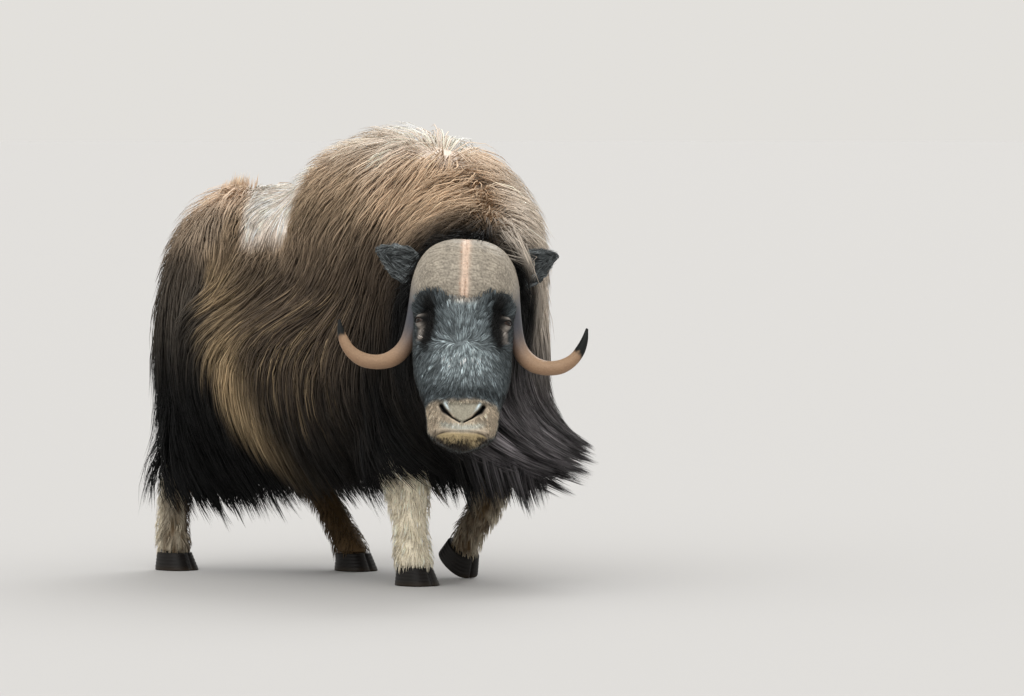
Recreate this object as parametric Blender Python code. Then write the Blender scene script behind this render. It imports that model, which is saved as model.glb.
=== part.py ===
"""A bull muskox, life size, walking with its head low and turned to its right.

X runs forward along the trunk, Y to the animal's left and Z up, in metres. The coat is a core, half as deep
as the hair, with flat tapered locks fused to it. Head, ears, eyes, horns, legs, claws and tail are solids of
their own, set into the coat with a small gap.
"""

import math
import random

import bmesh
import bpy
from mathutils import Matrix, Vector
from mathutils.bvhtree import BVHTree

GAP = 0.0003
SEED = 11

# Trunk core. Each row is one station: x, half width, top, and the height of the widest place.
# The underside is cut flat at the belly level, where the legs' tops meet it.
BELLY_LEVEL = 0.40
TRUNK_CORE = (
    (-0.865, 0.070, 0.930, 0.78),
    (-0.820, 0.158, 1.030, 0.79),
    (-0.720, 0.238, 1.135, 0.79),
    (-0.620, 0.284, 1.190, 0.78),
    (-0.480, 0.312, 1.190, 0.77),
    (-0.330, 0.320, 1.190, 0.77),
    (-0.200, 0.322, 1.262, 0.77),
    (-0.020, 0.322, 1.338, 0.78),
    (0.160, 0.315, 1.358, 0.80),
    (0.310, 0.280, 1.315, 0.82),
    (0.430, 0.220, 1.210, 0.82),
    (0.520, 0.145, 1.060, 0.80),
    (0.560, 0.070, 0.940, 0.78),
)
TRUNK_SIDES = 16
TRUNK_RINGS = 14
TRUNK_UPPER_POWER = 0.86
TRUNK_LOWER_POWER = 0.50
TRUNK_DROP = 0.46

# Neck: centre, half width and half height of each ring, from inside the shoulders to behind the skull.
NECK_RINGS = (
    ((0.120, 0.000, 0.960), 0.24, 0.28),
    ((0.330, -0.040, 0.950), 0.25, 0.30),
    ((0.490, -0.130, 0.905), 0.22, 0.275),
    ((0.600, -0.235, 0.860), 0.19, 0.265),
    ((0.660, -0.300, 0.830), 0.13, 0.20),
)
NECK_SIDES = 12
THROAT_RINGS = (
    ((0.400, -0.060, 0.820), 0.17, 0.16),
    ((0.470, -0.110, 0.640), 0.15, 0.13),
    ((0.500, -0.120, 0.500), 0.12, 0.10),
)

# Head: the frame's origin is between the eyes, in the middle of the skull.
HEAD_CENTRE = (0.750, -0.410, 0.791)
HEAD_YAW = math.radians(-45)
HEAD_TILT = math.radians(20)
HEAD_ROLL = math.radians(2.2)
# height along the face, half width, front, back, and how square the section is
HEAD_PROFILE = (
    (0.235, 0.060, 0.010, -0.085, 0.95),
    (0.205, 0.110, 0.050, -0.130, 0.90),
    (0.140, 0.140, 0.095, -0.165, 0.85),
    (0.070, 0.148, 0.116, -0.178, 0.80),
    (0.000, 0.147, 0.122, -0.182, 0.80),
    (-0.080, 0.145, 0.121, -0.172, 0.80),
    (-0.150, 0.140, 0.118, -0.145, 0.78),
    (-0.210, 0.124, 0.115, -0.108, 0.74),
    (-0.255, 0.107, 0.117, -0.084, 0.70),
    (-0.298, 0.101, 0.121, -0.068, 0.68),
    (-0.335, 0.097, 0.114, -0.054, 0.70),
    (-0.362, 0.075, 0.094, -0.036, 0.78),
    (-0.382, 0.036, 0.052, -0.005, 0.90),
)
HEAD_SIDES = 26
MOUTH_LEVEL = -0.345
MOUTH_GROOVE = 0.010
MOUTH_HALF_HEIGHT = 0.007
MUZZLE_LEVELS = (-0.258, -0.278, -0.298, -0.318, -0.334, -0.345, -0.356, -0.366, -0.375)
EYE_PLACE = (0.058, 0.120, 0.000)
EYE_RADIUS = 0.021
LID_RADIUS = 0.0235
LID_THICKNESS = 0.0045
NOSTRIL_PATH = (
    (0.105, 0.066, -0.272),
    (0.117, 0.050, -0.295),
    (0.124, 0.030, -0.312),
    (0.123, 0.012, -0.323),
)
NOSTRIL_RADII = (0.0095, 0.0085, 0.0060, 0.0035)

# Horn: each section is an ellipse between an inner and an outer edge, given as left and up in the head's
# frame, with the place of its middle along the face's axis and its half thickness. The boss comes first.
HORN_RINGS = (
    ((0.000, 0.010), (0.000, 0.266), 0.026, 0.114),
    ((0.032, 0.016), (0.052, 0.262), 0.024, 0.113),
    ((0.064, 0.028), (0.104, 0.240), 0.018, 0.107),
    ((0.090, 0.036), (0.138, 0.202), 0.008, 0.092),
    ((0.108, 0.032), (0.157, 0.150), -0.004, 0.070),
    ((0.120, 0.012), (0.164, 0.095), -0.014, 0.052),
    ((0.127, -0.012), (0.170, 0.040), -0.020, 0.038),
    ((0.138, -0.040), (0.178, -0.008), -0.020, 0.030),
    ((0.154, -0.076), (0.188, -0.040), -0.014, 0.026),
    ((0.176, -0.106), (0.205, -0.066), -0.006, 0.024),
    ((0.208, -0.128), (0.229, -0.086), 0.004, 0.0225),
    ((0.252, -0.139), (0.256, -0.096), 0.016, 0.0215),
    ((0.298, -0.136), (0.288, -0.095), 0.030, 0.020),
    ((0.334, -0.116), (0.316, -0.084), 0.046, 0.018),
    ((0.358, -0.085), (0.334, -0.065), 0.062, 0.015),
    ((0.368, -0.050), (0.349, -0.041), 0.076, 0.011),
)
HORN_TIP = (0.088, 0.366, -0.014)
HORN_SIDES = 10

# Ear: place, half width, cup depth of each section, along the ear from its root to its tip.
EAR_RINGS = (
    ((-0.082, 0.118, 0.172), 0.034, 0.014),
    ((-0.076, 0.154, 0.200), 0.052, 0.028),
    ((-0.070, 0.190, 0.222), 0.052, 0.032),
    ((-0.062, 0.222, 0.240), 0.038, 0.024),
    ((-0.055, 0.249, 0.251), 0.019, 0.012),
)
EAR_TIP = (-0.050, 0.268, 0.256)
EAR_WALL = 0.010

# Legs: centre, half length and half width of each ring, from the coat's underside to the top of the claws.
CLAW_TOP = 0.055
LEGS = {
    "leg_front_right": (
        ((0.235, -0.165, 0.400), 0.084, 0.072),
        ((0.250, -0.167, 0.330), 0.080, 0.070),
        ((0.268, -0.170, 0.260), 0.074, 0.066),
        ((0.278, -0.170, 0.180), 0.060, 0.055),
        ((0.286, -0.170, 0.110), 0.064, 0.058),
        ((0.296, -0.170, 0.055), 0.066, 0.060),
    ),
    "leg_front_left": (
        ((0.240, 0.160, 0.400), 0.090, 0.078),
        ((0.276, 0.158, 0.330), 0.080, 0.070),
        ((0.290, 0.156, 0.270), 0.068, 0.062),
        ((0.262, 0.154, 0.210), 0.058, 0.054),
        ((0.212, 0.152, 0.150), 0.052, 0.050),
        ((0.180, 0.152, 0.092), 0.054, 0.052),
    ),
    "leg_hind_right": (
        ((-0.690, -0.145, 0.400), 0.080, 0.066),
        ((-0.735, -0.158, 0.330), 0.072, 0.060),
        ((-0.762, -0.175, 0.260), 0.064, 0.056),
        ((-0.766, -0.188, 0.180), 0.055, 0.052),
        ((-0.760, -0.195, 0.110), 0.060, 0.055),
        ((-0.750, -0.198, 0.055), 0.063, 0.057),
    ),
    "leg_hind_left": (
        ((-0.560, 0.150, 0.400), 0.090, 0.070),
        ((-0.540, 0.156, 0.330), 0.082, 0.066),
        ((-0.492, 0.169, 0.260), 0.068, 0.060),
        ((-0.424, 0.170, 0.180), 0.058, 0.053),
        ((-0.366, 0.170, 0.110), 0.060, 0.054),
        ((-0.326, 0.170, 0.055), 0.064, 0.057),
    ),
}
LEG_SIDES = 14
BENT_LEG = "leg_front_left"
BENT_LEANS = (0.0, 0.10, 0.45, 0.80, 0.80, 1.0)
CLAW_LENGTH = 0.135
CLAW_WIDTH = 0.058
CLEFT = 0.006
TOE_TILT = math.radians(38)

# Tail: a short stub below the rump, hidden by its own hair in life.
TAIL_RINGS = (
    ((-0.800, 0.000, 1.000), 0.040, 0.032),
    ((-0.880, 0.000, 0.985), 0.036, 0.028),
    ((-0.925, 0.000, 0.930), 0.028, 0.022),
    ((-0.935, 0.000, 0.860), 0.016, 0.013),
)
TAIL_TIP = (-0.938, 0.000, 0.800)

# Coat: the locks of each row start on the core and overlap down and back. Rows are staggered.
# first and last station, angle from the crest in degrees, locks a side, length, width, rise at the tip
COAT_ROWS = (
    (-0.70, 0.36, 26, 6, 0.260, 0.180, 0.044),
    (-0.74, 0.40, 54, 8, 0.310, 0.165, 0.058),
    (-0.76, 0.42, 84, 8, 0.350, 0.170, 0.062),
    (-0.79, 0.43, 118, 8, 0.330, 0.170, 0.060),
)
ROW_TURN_JITTER = 7
SKIRT_ROW = (-0.82, 0.42, 140, 9, 0.165, 0.060)
# x and the level that the coat's tips hang to
SKIRT_TIPS = ((-0.85, 0.175), (-0.55, 0.215), (-0.20, 0.240), (0.10, 0.260), (0.28, 0.310), (0.45, 0.260))
SKIRT_SLACK = 1.12
CREST_STATIONS = (-0.70, -0.53, -0.36, -0.20, -0.05, 0.09, 0.23, 0.38)
CREST_LENGTH = 0.22
CREST_RISE = 0.034
SADDLE = (-0.52, -0.30)
SADDLE_RISE = 0.50
# level, locks, length, and how far round from the rear the row reaches, in degrees
RUMP_ROWS = ((1.04, 3, 0.270, 56), (0.88, 4, 0.320, 62), (0.66, 4, 0.330, 66), (0.46, 7, 0.280, 84))
RUMP_CENTRE_X = -0.62
RUMP_WIDTH = 0.155
RUMP_RISE = 0.062
NECK_ROWS = ((0.10, 0.260), (0.44, 0.260), (0.76, 0.240))
NECK_ROW_ANGLES = (-145, -105, -66, -24, 24, 66, 105, 145)
NECK_WIDTH = 0.150
NECK_RISE = 0.058
BEARD_ROWS = ((0.70, 0.330), (0.56, 0.320), (0.44, 0.270))
BEARD_ANGLES = (-105, -62, -22, 18, 62)
BEARD_WIDTH = 0.120
BEARD_RISE = 0.042
THROAT_AXIS = (0.440, -0.090)
LOCK_STEPS = 4
LOCK_STIFFNESS = 0.5
FREE_LEVEL = 0.90
SECTION_CLEARANCE = 0.004
SECTION_TRIES = 7
LOCK_SINK = 0.035
LOCK_FLATNESS = 0.15
LOCK_SPREAD = (0.80, 1.00, 1.00, 0.74)
LOCK_RISE = (0.0, 0.34, 0.68, 0.90, 1.0)
BACK = Vector((-1, 0, 0))
DOWN = Vector((0, 0, -1))
WIND = Vector((0.7071, 0.7071, 0))

# Where the coat is parted.
HIND_CUT = -0.36
SHOULDER_CUT = 0.06
NECK_CUT_POINT = Vector((0.42, 0.0, 1.0))
NECK_CUT_NORMAL = Vector((0.90, -0.40, -0.18)).normalized()
FAR = 4.0
HAIRLINE = 0.00002


def smoothstep(low, high, value):
    share = min(1.0, max(0.0, (value - low) / (high - low)))
    return share * share * (3 - 2 * share)


def spline(rows, at):
    """The row of numbers at a place along the table's first column, by a smooth curve through its rows."""
    keys = [row[0] for row in rows]
    at = min(max(at, min(keys)), max(keys))
    rising = keys[-1] > keys[0]
    i = 0
    while i < len(rows) - 2 and (at > keys[i + 1] if rising else at < keys[i + 1]):
        i += 1
    before, start, end, after = (rows[max(0, min(len(rows) - 1, k))] for k in (i - 1, i, i + 1, i + 2))
    t = (at - start[0]) / (end[0] - start[0])
    made = []
    for k in range(1, len(start)):
        slope_in = (end[k] - before[k]) / (end[0] - before[0]) * (end[0] - start[0])
        slope_out = (after[k] - start[k]) / (after[0] - start[0]) * (end[0] - start[0])
        made.append(
            (2 * t**3 - 3 * t**2 + 1) * start[k]
            + (t**3 - 2 * t**2 + t) * slope_in
            + (3 * t**2 - 2 * t**3) * end[k]
            + (t**3 - t**2) * slope_out
        )
    return made


def clear_scene():
    for thing in list(bpy.data.objects):
        bpy.data.objects.remove(thing)


def add_object(name, points, faces, collection=None):
    mesh = bpy.data.meshes.new(name)
    mesh.from_pydata([tuple(p) for p in points], [], faces)
    bm = bmesh.new()
    bm.from_mesh(mesh)
    bmesh.ops.triangulate(bm, faces=bm.faces)
    bmesh.ops.recalc_face_normals(bm, faces=bm.faces)
    if bm.calc_volume(signed=True) < 0:
        bmesh.ops.reverse_faces(bm, faces=bm.faces)
    bm.to_mesh(mesh)
    bm.free()
    thing = bpy.data.objects.new(name, mesh)
    (collection or bpy.context.scene.collection).objects.link(thing)
    return thing


def loft(rings, tip=None, root=None):
    """Points and faces of a closed tube through rings of equal count, with a fan at each end."""
    sides = len(rings[0])
    points = [p for ring in rings for p in ring]
    faces = []
    for i in range(len(rings) - 1):
        for j in range(sides):
            k = (j + 1) % sides
            faces.append((i * sides + j, i * sides + k, (i + 1) * sides + k, (i + 1) * sides + j))
    for ring, apex, base in ((rings[0], root, 0), (rings[-1], tip, (len(rings) - 1) * sides)):
        points.append(apex or sum(ring, Vector()) / sides)
        faces += [(base + j, base + (j + 1) % sides, len(points) - 1) for j in range(sides)]
    return points, faces


def ellipse(centre, across, along, half_across, half_along, sides):
    turn = 2 * math.pi / sides
    return [
        centre + across * (half_across * math.cos(j * turn)) + along * (half_along * math.sin(j * turn))
        for j in range(sides)
    ]


def tube(rings, sides, across_hint, tip=None, grow=0.0):
    """Elliptic rings set square to the path through their centres. grow thickens the tube all round."""
    centres = [Vector(row[0]) for row in rings]
    ends = centres + ([Vector(tip)] if tip else [])
    made = []
    for i, (_, half_across, half_along) in enumerate(rings):
        heading = (ends[min(i + 1, len(ends) - 1)] - ends[max(i - 1, 0)]).normalized()
        across = (across_hint - heading * across_hint.dot(heading)).normalized()
        along = heading.cross(across)
        centre = centres[i]
        if i == 0:
            centre = centre - heading * grow
        if i == len(rings) - 1 and not tip:
            centre = centre + heading * grow
        made.append(ellipse(centre, across, along, half_across + grow, half_along + grow, sides))
    apex = None
    if tip:
        apex = Vector(tip) + (Vector(tip) - centres[-1]).normalized() * grow
    return loft(made, tip=apex)


def boolean(thing, other, operation):
    """Cuts or joins with the Boolean modifier and applies it. other is an object or a collection."""
    modifier = thing.modifiers.new(operation.lower(), "BOOLEAN")
    modifier.operation = operation
    modifier.solver = "MANIFOLD"
    if isinstance(other, bpy.types.Collection):
        modifier.operand_type = "COLLECTION"
        modifier.collection = other
    else:
        modifier.object = other
    bpy.context.view_layer.update()
    graph = bpy.context.evaluated_depsgraph_get()
    mesh = bpy.data.meshes.new_from_object(thing.evaluated_get(graph))
    thing.modifiers.remove(modifier)
    thing.data = mesh
    return thing


def remove(thing):
    bpy.data.objects.remove(thing)


def copy_of(thing, name):
    made = thing.copy()
    made.data = thing.data.copy()
    made.name = name
    bpy.context.scene.collection.objects.link(made)
    return made


def keep_largest(thing):
    """Closes hairline slits, then leaves only the closed surface with the largest volume."""
    bm = bmesh.new()
    bm.from_mesh(thing.data)
    bmesh.ops.dissolve_degenerate(bm, edges=bm.edges, dist=HAIRLINE)
    bmesh.ops.triangulate(bm, faces=bm.faces)
    bm.faces.ensure_lookup_table()
    unseen = set(bm.faces)
    pieces = []
    while unseen:
        seed = unseen.pop()
        piece = [seed]
        front = [seed]
        while front:
            face = front.pop()
            for edge in face.edges:
                if len(edge.link_faces) > 2:
                    continue
                for near in edge.link_faces:
                    if near in unseen:
                        unseen.discard(near)
                        piece.append(near)
                        front.append(near)
        pieces.append(piece)
    volumes = []
    for piece in pieces:
        volume = 0.0
        for face in piece:
            corners = [v.co for v in face.verts]
            for k in range(1, len(corners) - 1):
                volume += corners[0].dot(corners[k].cross(corners[k + 1])) / 6
        volumes.append(volume)
    kept = volumes.index(max(volumes))
    loose = [face for i, piece in enumerate(pieces) if i != kept for face in piece]
    bmesh.ops.delete(bm, geom=loose, context="FACES")
    bmesh.ops.delete(bm, geom=[v for v in bm.verts if not v.link_faces], context="VERTS")
    bm.to_mesh(thing.data)
    bm.free()


def half_space(point, normal):
    """A large box whose one face lies on the plane, on the side that the normal points to."""
    bm = bmesh.new()
    bmesh.ops.create_cube(bm, size=FAR)
    turn = normal.to_track_quat("Z", "Y").to_matrix().to_4x4()
    place = Matrix.Translation(point + normal * (FAR / 2)) @ turn
    bmesh.ops.transform(bm, matrix=place, verts=bm.verts)
    mesh = bpy.data.meshes.new("cutter")
    bm.to_mesh(mesh)
    bm.free()
    thing = bpy.data.objects.new("cutter", mesh)
    bpy.context.scene.collection.objects.link(thing)
    return thing


def keep_side(thing, point, normal):
    """Keeps the part of a solid that lies half a gap or more beyond the plane."""
    cutter = half_space(point + normal * (GAP / 2), normal)
    boolean(thing, cutter, "INTERSECT")
    remove(cutter)


def cut_clear(thing, shapes):
    """Cuts a solid clear of others, each given as the points and faces of its thickened form."""
    for points, faces in shapes:
        cutter = add_object("cutter", points, faces)
        boolean(thing, cutter, "DIFFERENCE")
        remove(cutter)


# Head and what grows from it


def head_matrix():
    forward = Vector((math.cos(HEAD_YAW), math.sin(HEAD_YAW), 0))
    left = Vector((0, 0, 1)).cross(forward)
    up = Vector((0, 0, 1)) * math.cos(HEAD_TILT) - forward * math.sin(HEAD_TILT)
    face = left.cross(up)
    turned_left = left * math.cos(HEAD_ROLL) - up * math.sin(HEAD_ROLL)
    turned_up = up * math.cos(HEAD_ROLL) + left * math.sin(HEAD_ROLL)
    turn = Matrix((face, turned_left, turned_up)).transposed().to_4x4()
    return Matrix.Translation(Vector(HEAD_CENTRE)) @ turn


HEAD = head_matrix()


def bump(distance, reach):
    return math.exp(-((distance / reach) ** 2))


def head_point(level, turn):
    """A point on the head's surface in the head's frame. turn 0 is the front, a quarter is the left."""
    half_width, front, back, power = spline(HEAD_PROFILE, level)
    middle = min(front - 0.02, 0.02)
    sine = math.sin(turn)
    cosine = math.cos(turn)
    across = half_width * math.copysign(abs(sine) ** power, sine)
    reach = (front - middle) if cosine > 0 else (middle - back)
    forward = middle + reach * math.copysign(abs(cosine) ** power, cosine)
    side = abs(across)
    if cosine > -0.3:
        socket = bump(level - 0.004, 0.040) * bump(forward - 0.075, 0.030) * smoothstep(0.05, 0.11, side)
        brow = bump(level - 0.050, 0.022) * bump(forward - 0.065, 0.040) * smoothstep(0.06, 0.12, side)
        tear = bump(level + 0.050, 0.030) * bump(forward - 0.090, 0.026) * smoothstep(0.05, 0.10, side)
        across -= math.copysign(0.020 * socket - 0.012 * brow + 0.008 * tear, across)
        forward -= 0.012 * socket
    if cosine > 0:
        bridge = bump(level + 0.115, 0.065) * bump(side, 0.070)
        nose = bump(level + 0.282, 0.030) * bump(side - 0.040, 0.040)
        forward += -0.004 * bridge + 0.007 * nose
    groove = max(0.0, 1 - abs(level - MOUTH_LEVEL) / MOUTH_HALF_HEIGHT) * smoothstep(-0.35, 0.05, cosine)
    shrink = 1 - MOUTH_GROOVE / max(0.05, half_width) * groove
    return Vector((middle + (forward - middle) * shrink, across * shrink, level))


def head_shape(grow=0.0):
    upper = [row[0] for row in HEAD_PROFILE if row[0] > MUZZLE_LEVELS[0]]
    middles = [(a + b) / 2 for a, b in zip(upper, upper[1:])]
    levels = sorted(set(upper + middles + list(MUZZLE_LEVELS)) | {HEAD_PROFILE[-1][0]}, reverse=True)
    rings = []
    for level in levels:
        ring = [head_point(level, 2 * math.pi * j / HEAD_SIDES) for j in range(HEAD_SIDES)]
        if grow:
            heart = Vector((-0.02, 0, level))
            ring = [p + (p - heart).normalized() * grow for p in ring]
        rings.append([HEAD @ p for p in ring])
    crown = HEAD @ Vector((-0.035, 0, HEAD_PROFILE[0][0] + 0.012 + grow))
    chin = HEAD @ Vector((0.022, 0, HEAD_PROFILE[-1][0] - 0.008 - grow))
    return loft(rings, root=crown, tip=chin)


def sided(place, side):
    return HEAD @ Vector((place[0], place[1] * side, place[2]))


def horn_shape(side, grow=0.0):
    """Half of the boss and its horn. Its sections fan out from the inner edge, so none meets the next."""
    rings = []
    for inner, outer, forward, half_thickness in HORN_RINGS:
        low = sided((forward, inner[0] + GAP / 2, inner[1]), side)
        high = sided((forward, outer[0] + GAP / 2, outer[1]), side)
        tall = (high - low).normalized()
        thick = HEAD.to_3x3() @ Vector((1, 0, 0))
        half_height = (high - low).length / 2
        centre = (low + high) / 2
        if not rings:
            centre -= HEAD.to_3x3() @ Vector((0, side * grow, 0))
        rings.append(ellipse(centre, tall, thick, half_height + grow, half_thickness + grow, HORN_SIDES))
    tip = sided(HORN_TIP, side)
    return loft(rings, tip=tip + (tip - sum(rings[-1], Vector()) / HORN_SIDES).normalized() * grow)


def ear_shape(side, grow=0.0):
    """A leaf rolled to a cup that opens forward. Each section has an outer and an inner arc."""
    centres = [sided(row[0], side) for row in EAR_RINGS]
    tip = sided(EAR_TIP, side)
    ends = centres + [tip]
    face = HEAD.to_3x3() @ Vector((1.0, 0.25 * side, -0.35)).normalized()
    arc = 6
    rings = []
    for i, (_, half_width, cup) in enumerate(EAR_RINGS):
        heading = (ends[i + 1] - ends[max(i - 1, 0)]).normalized()
        front = (face - heading * face.dot(heading)).normalized()
        wide = heading.cross(front)
        base = centres[i] - (heading * grow if i == 0 else Vector())
        outer = []
        inner = []
        for j in range(arc + 1):
            share = -1 + 2 * j / arc
            bow = 1 - share * share
            spread = wide * (share * (half_width + grow))
            outer.append(base + spread - front * ((cup + EAR_WALL) * bow * 0.75 + grow))
            if grow:
                inner.append(base + spread + front * (grow + cup * 0.25))
            elif 0 < j < arc:
                inner.append(base + spread * 0.82 - front * (cup * bow * 0.75 - cup * 0.15))
            else:
                inner.append(base + spread * 0.96 + front * 0.002)
        rings.append(outer + inner[::-1])
    return loft(rings, tip=tip + (tip - centres[-1]).normalized() * grow)


def ball(name, centre, radius, segments=12, rings=8):
    bm = bmesh.new()
    bmesh.ops.create_uvsphere(bm, u_segments=segments, v_segments=rings, radius=radius)
    bmesh.ops.transform(bm, matrix=Matrix.Translation(centre), verts=bm.verts)
    mesh = bpy.data.meshes.new(name)
    bm.to_mesh(mesh)
    bm.free()
    thing = bpy.data.objects.new(name, mesh)
    bpy.context.scene.collection.objects.link(thing)
    return thing


def build_head():
    head = add_object("head", *head_shape())
    for side in (1, -1):
        centre = sided(EYE_PLACE, side)
        out = HEAD.to_3x3() @ Vector((0.55, 0.83 * side, -0.05)).normalized()
        up = HEAD.to_3x3() @ Vector((0, 0, 1))
        along = out.cross(up).normalized()
        steps = 14
        for upper in (True, False):
            path = []
            for j in range(steps // 2 + 1):
                turn = math.pi * j / (steps // 2) * (1 if upper else -1)
                lift = math.sin(turn) * (0.62 if upper else 0.55)
                spot = along * math.cos(turn) + up * lift + out * (0.62 + 0.25 * abs(math.sin(turn)))
                path.append((centre + spot.normalized() * LID_RADIUS, LID_THICKNESS, LID_THICKNESS))
            points, faces = tube(path, 6, out)
            lid = add_object("lid", points, faces)
            boolean(head, lid, "UNION")
            remove(lid)
        socket = ball("socket", centre, EYE_RADIUS + GAP)
        boolean(head, socket, "DIFFERENCE")
        remove(socket)
        eye = ball("eye_left" if side > 0 else "eye_right", centre, EYE_RADIUS)
        eye.data.shade_smooth()
        nostril_rows = [(sided(p, side), r, r * 1.6) for p, r in zip(NOSTRIL_PATH, NOSTRIL_RADII)]
        nostril = add_object("nostril", *tube(nostril_rows, 8, HEAD.to_3x3() @ Vector((0, 0, 1))))
        boolean(head, nostril, "DIFFERENCE")
        remove(nostril)
    for side in (1, -1):
        cut_clear(head, [horn_shape(side, GAP), ear_shape(side, GAP)])
    keep_largest(head)
    return head


def build_horns():
    for side, name in ((1, "horn_left"), (-1, "horn_right")):
        add_object(name, *horn_shape(side))


def build_ears():
    for side, name in ((1, "ear_left"), (-1, "ear_right")):
        ear = add_object(name, *ear_shape(side))
        cut_clear(ear, [horn_shape(side, GAP)])
        keep_largest(ear)


# Legs and claws


def leg_shape(name, grow=0.0):
    """A leg through its rings. Those of the bent leg lean with the foot, whose heel is lifted."""
    leans = BENT_LEANS if name == BENT_LEG else (0,) * len(LEGS[name])
    side = Vector((0, 1, 0))
    rings = []
    for (place, half_length, half_width), lean in zip(LEGS[name], leans):
        angle = TOE_TILT * lean
        along = Vector((math.cos(angle), 0, -math.sin(angle)))
        rings.append(ellipse(Vector(place), along, side, half_length + grow, half_width + grow, LEG_SIDES))
    return loft(rings)


def claw_profile(level):
    """How far a claw's outline has spread at a height from 0 at the ground to 1 at the hair line."""
    return 1.0 - 0.22 * level


def claw_shape(inner_edge, side):
    """One claw in its own frame, toe along X, ground at 0, its straight inner face beside the cleft."""
    steps = 9
    rings = []
    for level in (0.0, 0.12, 0.6, 1.0):
        ring = []
        spread = claw_profile(level) if level else 0.93
        for j in range(steps + 1):
            turn = math.pi * j / steps
            along = math.cos(turn) * CLAW_LENGTH / 2 * spread
            out = math.sin(turn) ** 0.7 * CLAW_WIDTH * spread
            ring.append(Vector((along + 0.012 - 0.012 * level, side * (inner_edge + out), level * CLAW_TOP)))
        rings.append(ring)
    return rings


def build_foot(leg):
    """Two claws under a leg, with the cleft between them."""
    place = Vector(LEGS[leg][-1][0])
    bent = leg == BENT_LEG
    for side, word in ((1, "left"), (-1, "right")):
        rings = claw_shape(CLEFT / 2, side)
        if bent:
            turn = Matrix.Rotation(TOE_TILT, 4, "Y")
            ankle = Vector((0, 0, CLAW_TOP))
            rings = [[turn @ (p - ankle) + place for p in ring] for ring in rings]
        else:
            rings = [[p + Vector((place.x, place.y, 0)) for p in ring] for ring in rings]
        name = leg.replace("leg", "claw") + "_" + word
        claw = add_object(name, *loft(rings))
        if bent:
            keep_side(claw, Vector((0, 0, -GAP / 2)), Vector((0, 0, 1)))
        else:
            keep_side(claw, Vector((0, 0, CLAW_TOP - GAP / 2)), Vector((0, 0, -1)))


def build_legs():
    for name in LEGS:
        leg = add_object(name, *leg_shape(name))
        keep_side(leg, Vector((0, 0, BELLY_LEVEL)), Vector((0, 0, -1)))
        if name == BENT_LEG:
            turn = Matrix.Rotation(TOE_TILT, 4, "Y").to_3x3()
            up = turn @ Vector((0, 0, 1))
            keep_side(leg, Vector(LEGS[name][-1][0]), up)
        build_foot(name)


def tail_shape(grow=0.0):
    return tube(TAIL_RINGS, 10, Vector((0, 1, 0)), tip=TAIL_TIP, grow=grow)


# The coat's core


def trunk_ring(x, sides):
    half_width, top, widest = spline(TRUNK_CORE, x)
    ring = []
    for j in range(sides):
        turn = 2 * math.pi * j / sides
        sine = math.sin(turn)
        cosine = math.cos(turn)
        power = TRUNK_UPPER_POWER if cosine > 0 else TRUNK_LOWER_POWER
        y = half_width * math.copysign(abs(sine) ** power, sine)
        height = (top - widest) if cosine > 0 else TRUNK_DROP
        z = widest + height * math.copysign(abs(cosine) ** power, cosine)
        ring.append(Vector((x, y, z)))
    return ring


def core_shapes():
    first = TRUNK_CORE[0][0]
    last = TRUNK_CORE[-1][0]
    rings = []
    for i in range(TRUNK_RINGS + 1):
        share = i / TRUNK_RINGS
        eased = 0.5 - 0.5 * math.cos(math.pi * share)
        rings.append(trunk_ring(first + (last - first) * (0.4 * share + 0.6 * eased), TRUNK_SIDES))
    yield loft(rings)
    yield tube(NECK_RINGS, NECK_SIDES, Vector((0, 1, 0)))
    yield tube(THROAT_RINGS, 12, Vector((0, 1, 0)))


def build_core():
    core = None
    for points, faces in core_shapes():
        piece = add_object("core", points, faces)
        if core is None:
            core = piece
            continue
        boolean(core, piece, "UNION")
        remove(piece)
    keep_side(core, Vector((0, 0, BELLY_LEVEL)), Vector((0, 0, 1)))
    return core


# The coat's locks


def lie(place):
    """Which way the hair runs: back over the crest, down the flanks, and blown forward and left below."""
    high = smoothstep(0.60, 1.20, place.z)
    low = 1 - smoothstep(0.34, 0.74, place.z)
    throat = smoothstep(0.34, 0.58, place.x - 0.25 * place.y)
    return DOWN + BACK * (0.95 * high) + WIND * (low * (0.30 + 1.30 * throat))


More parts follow.
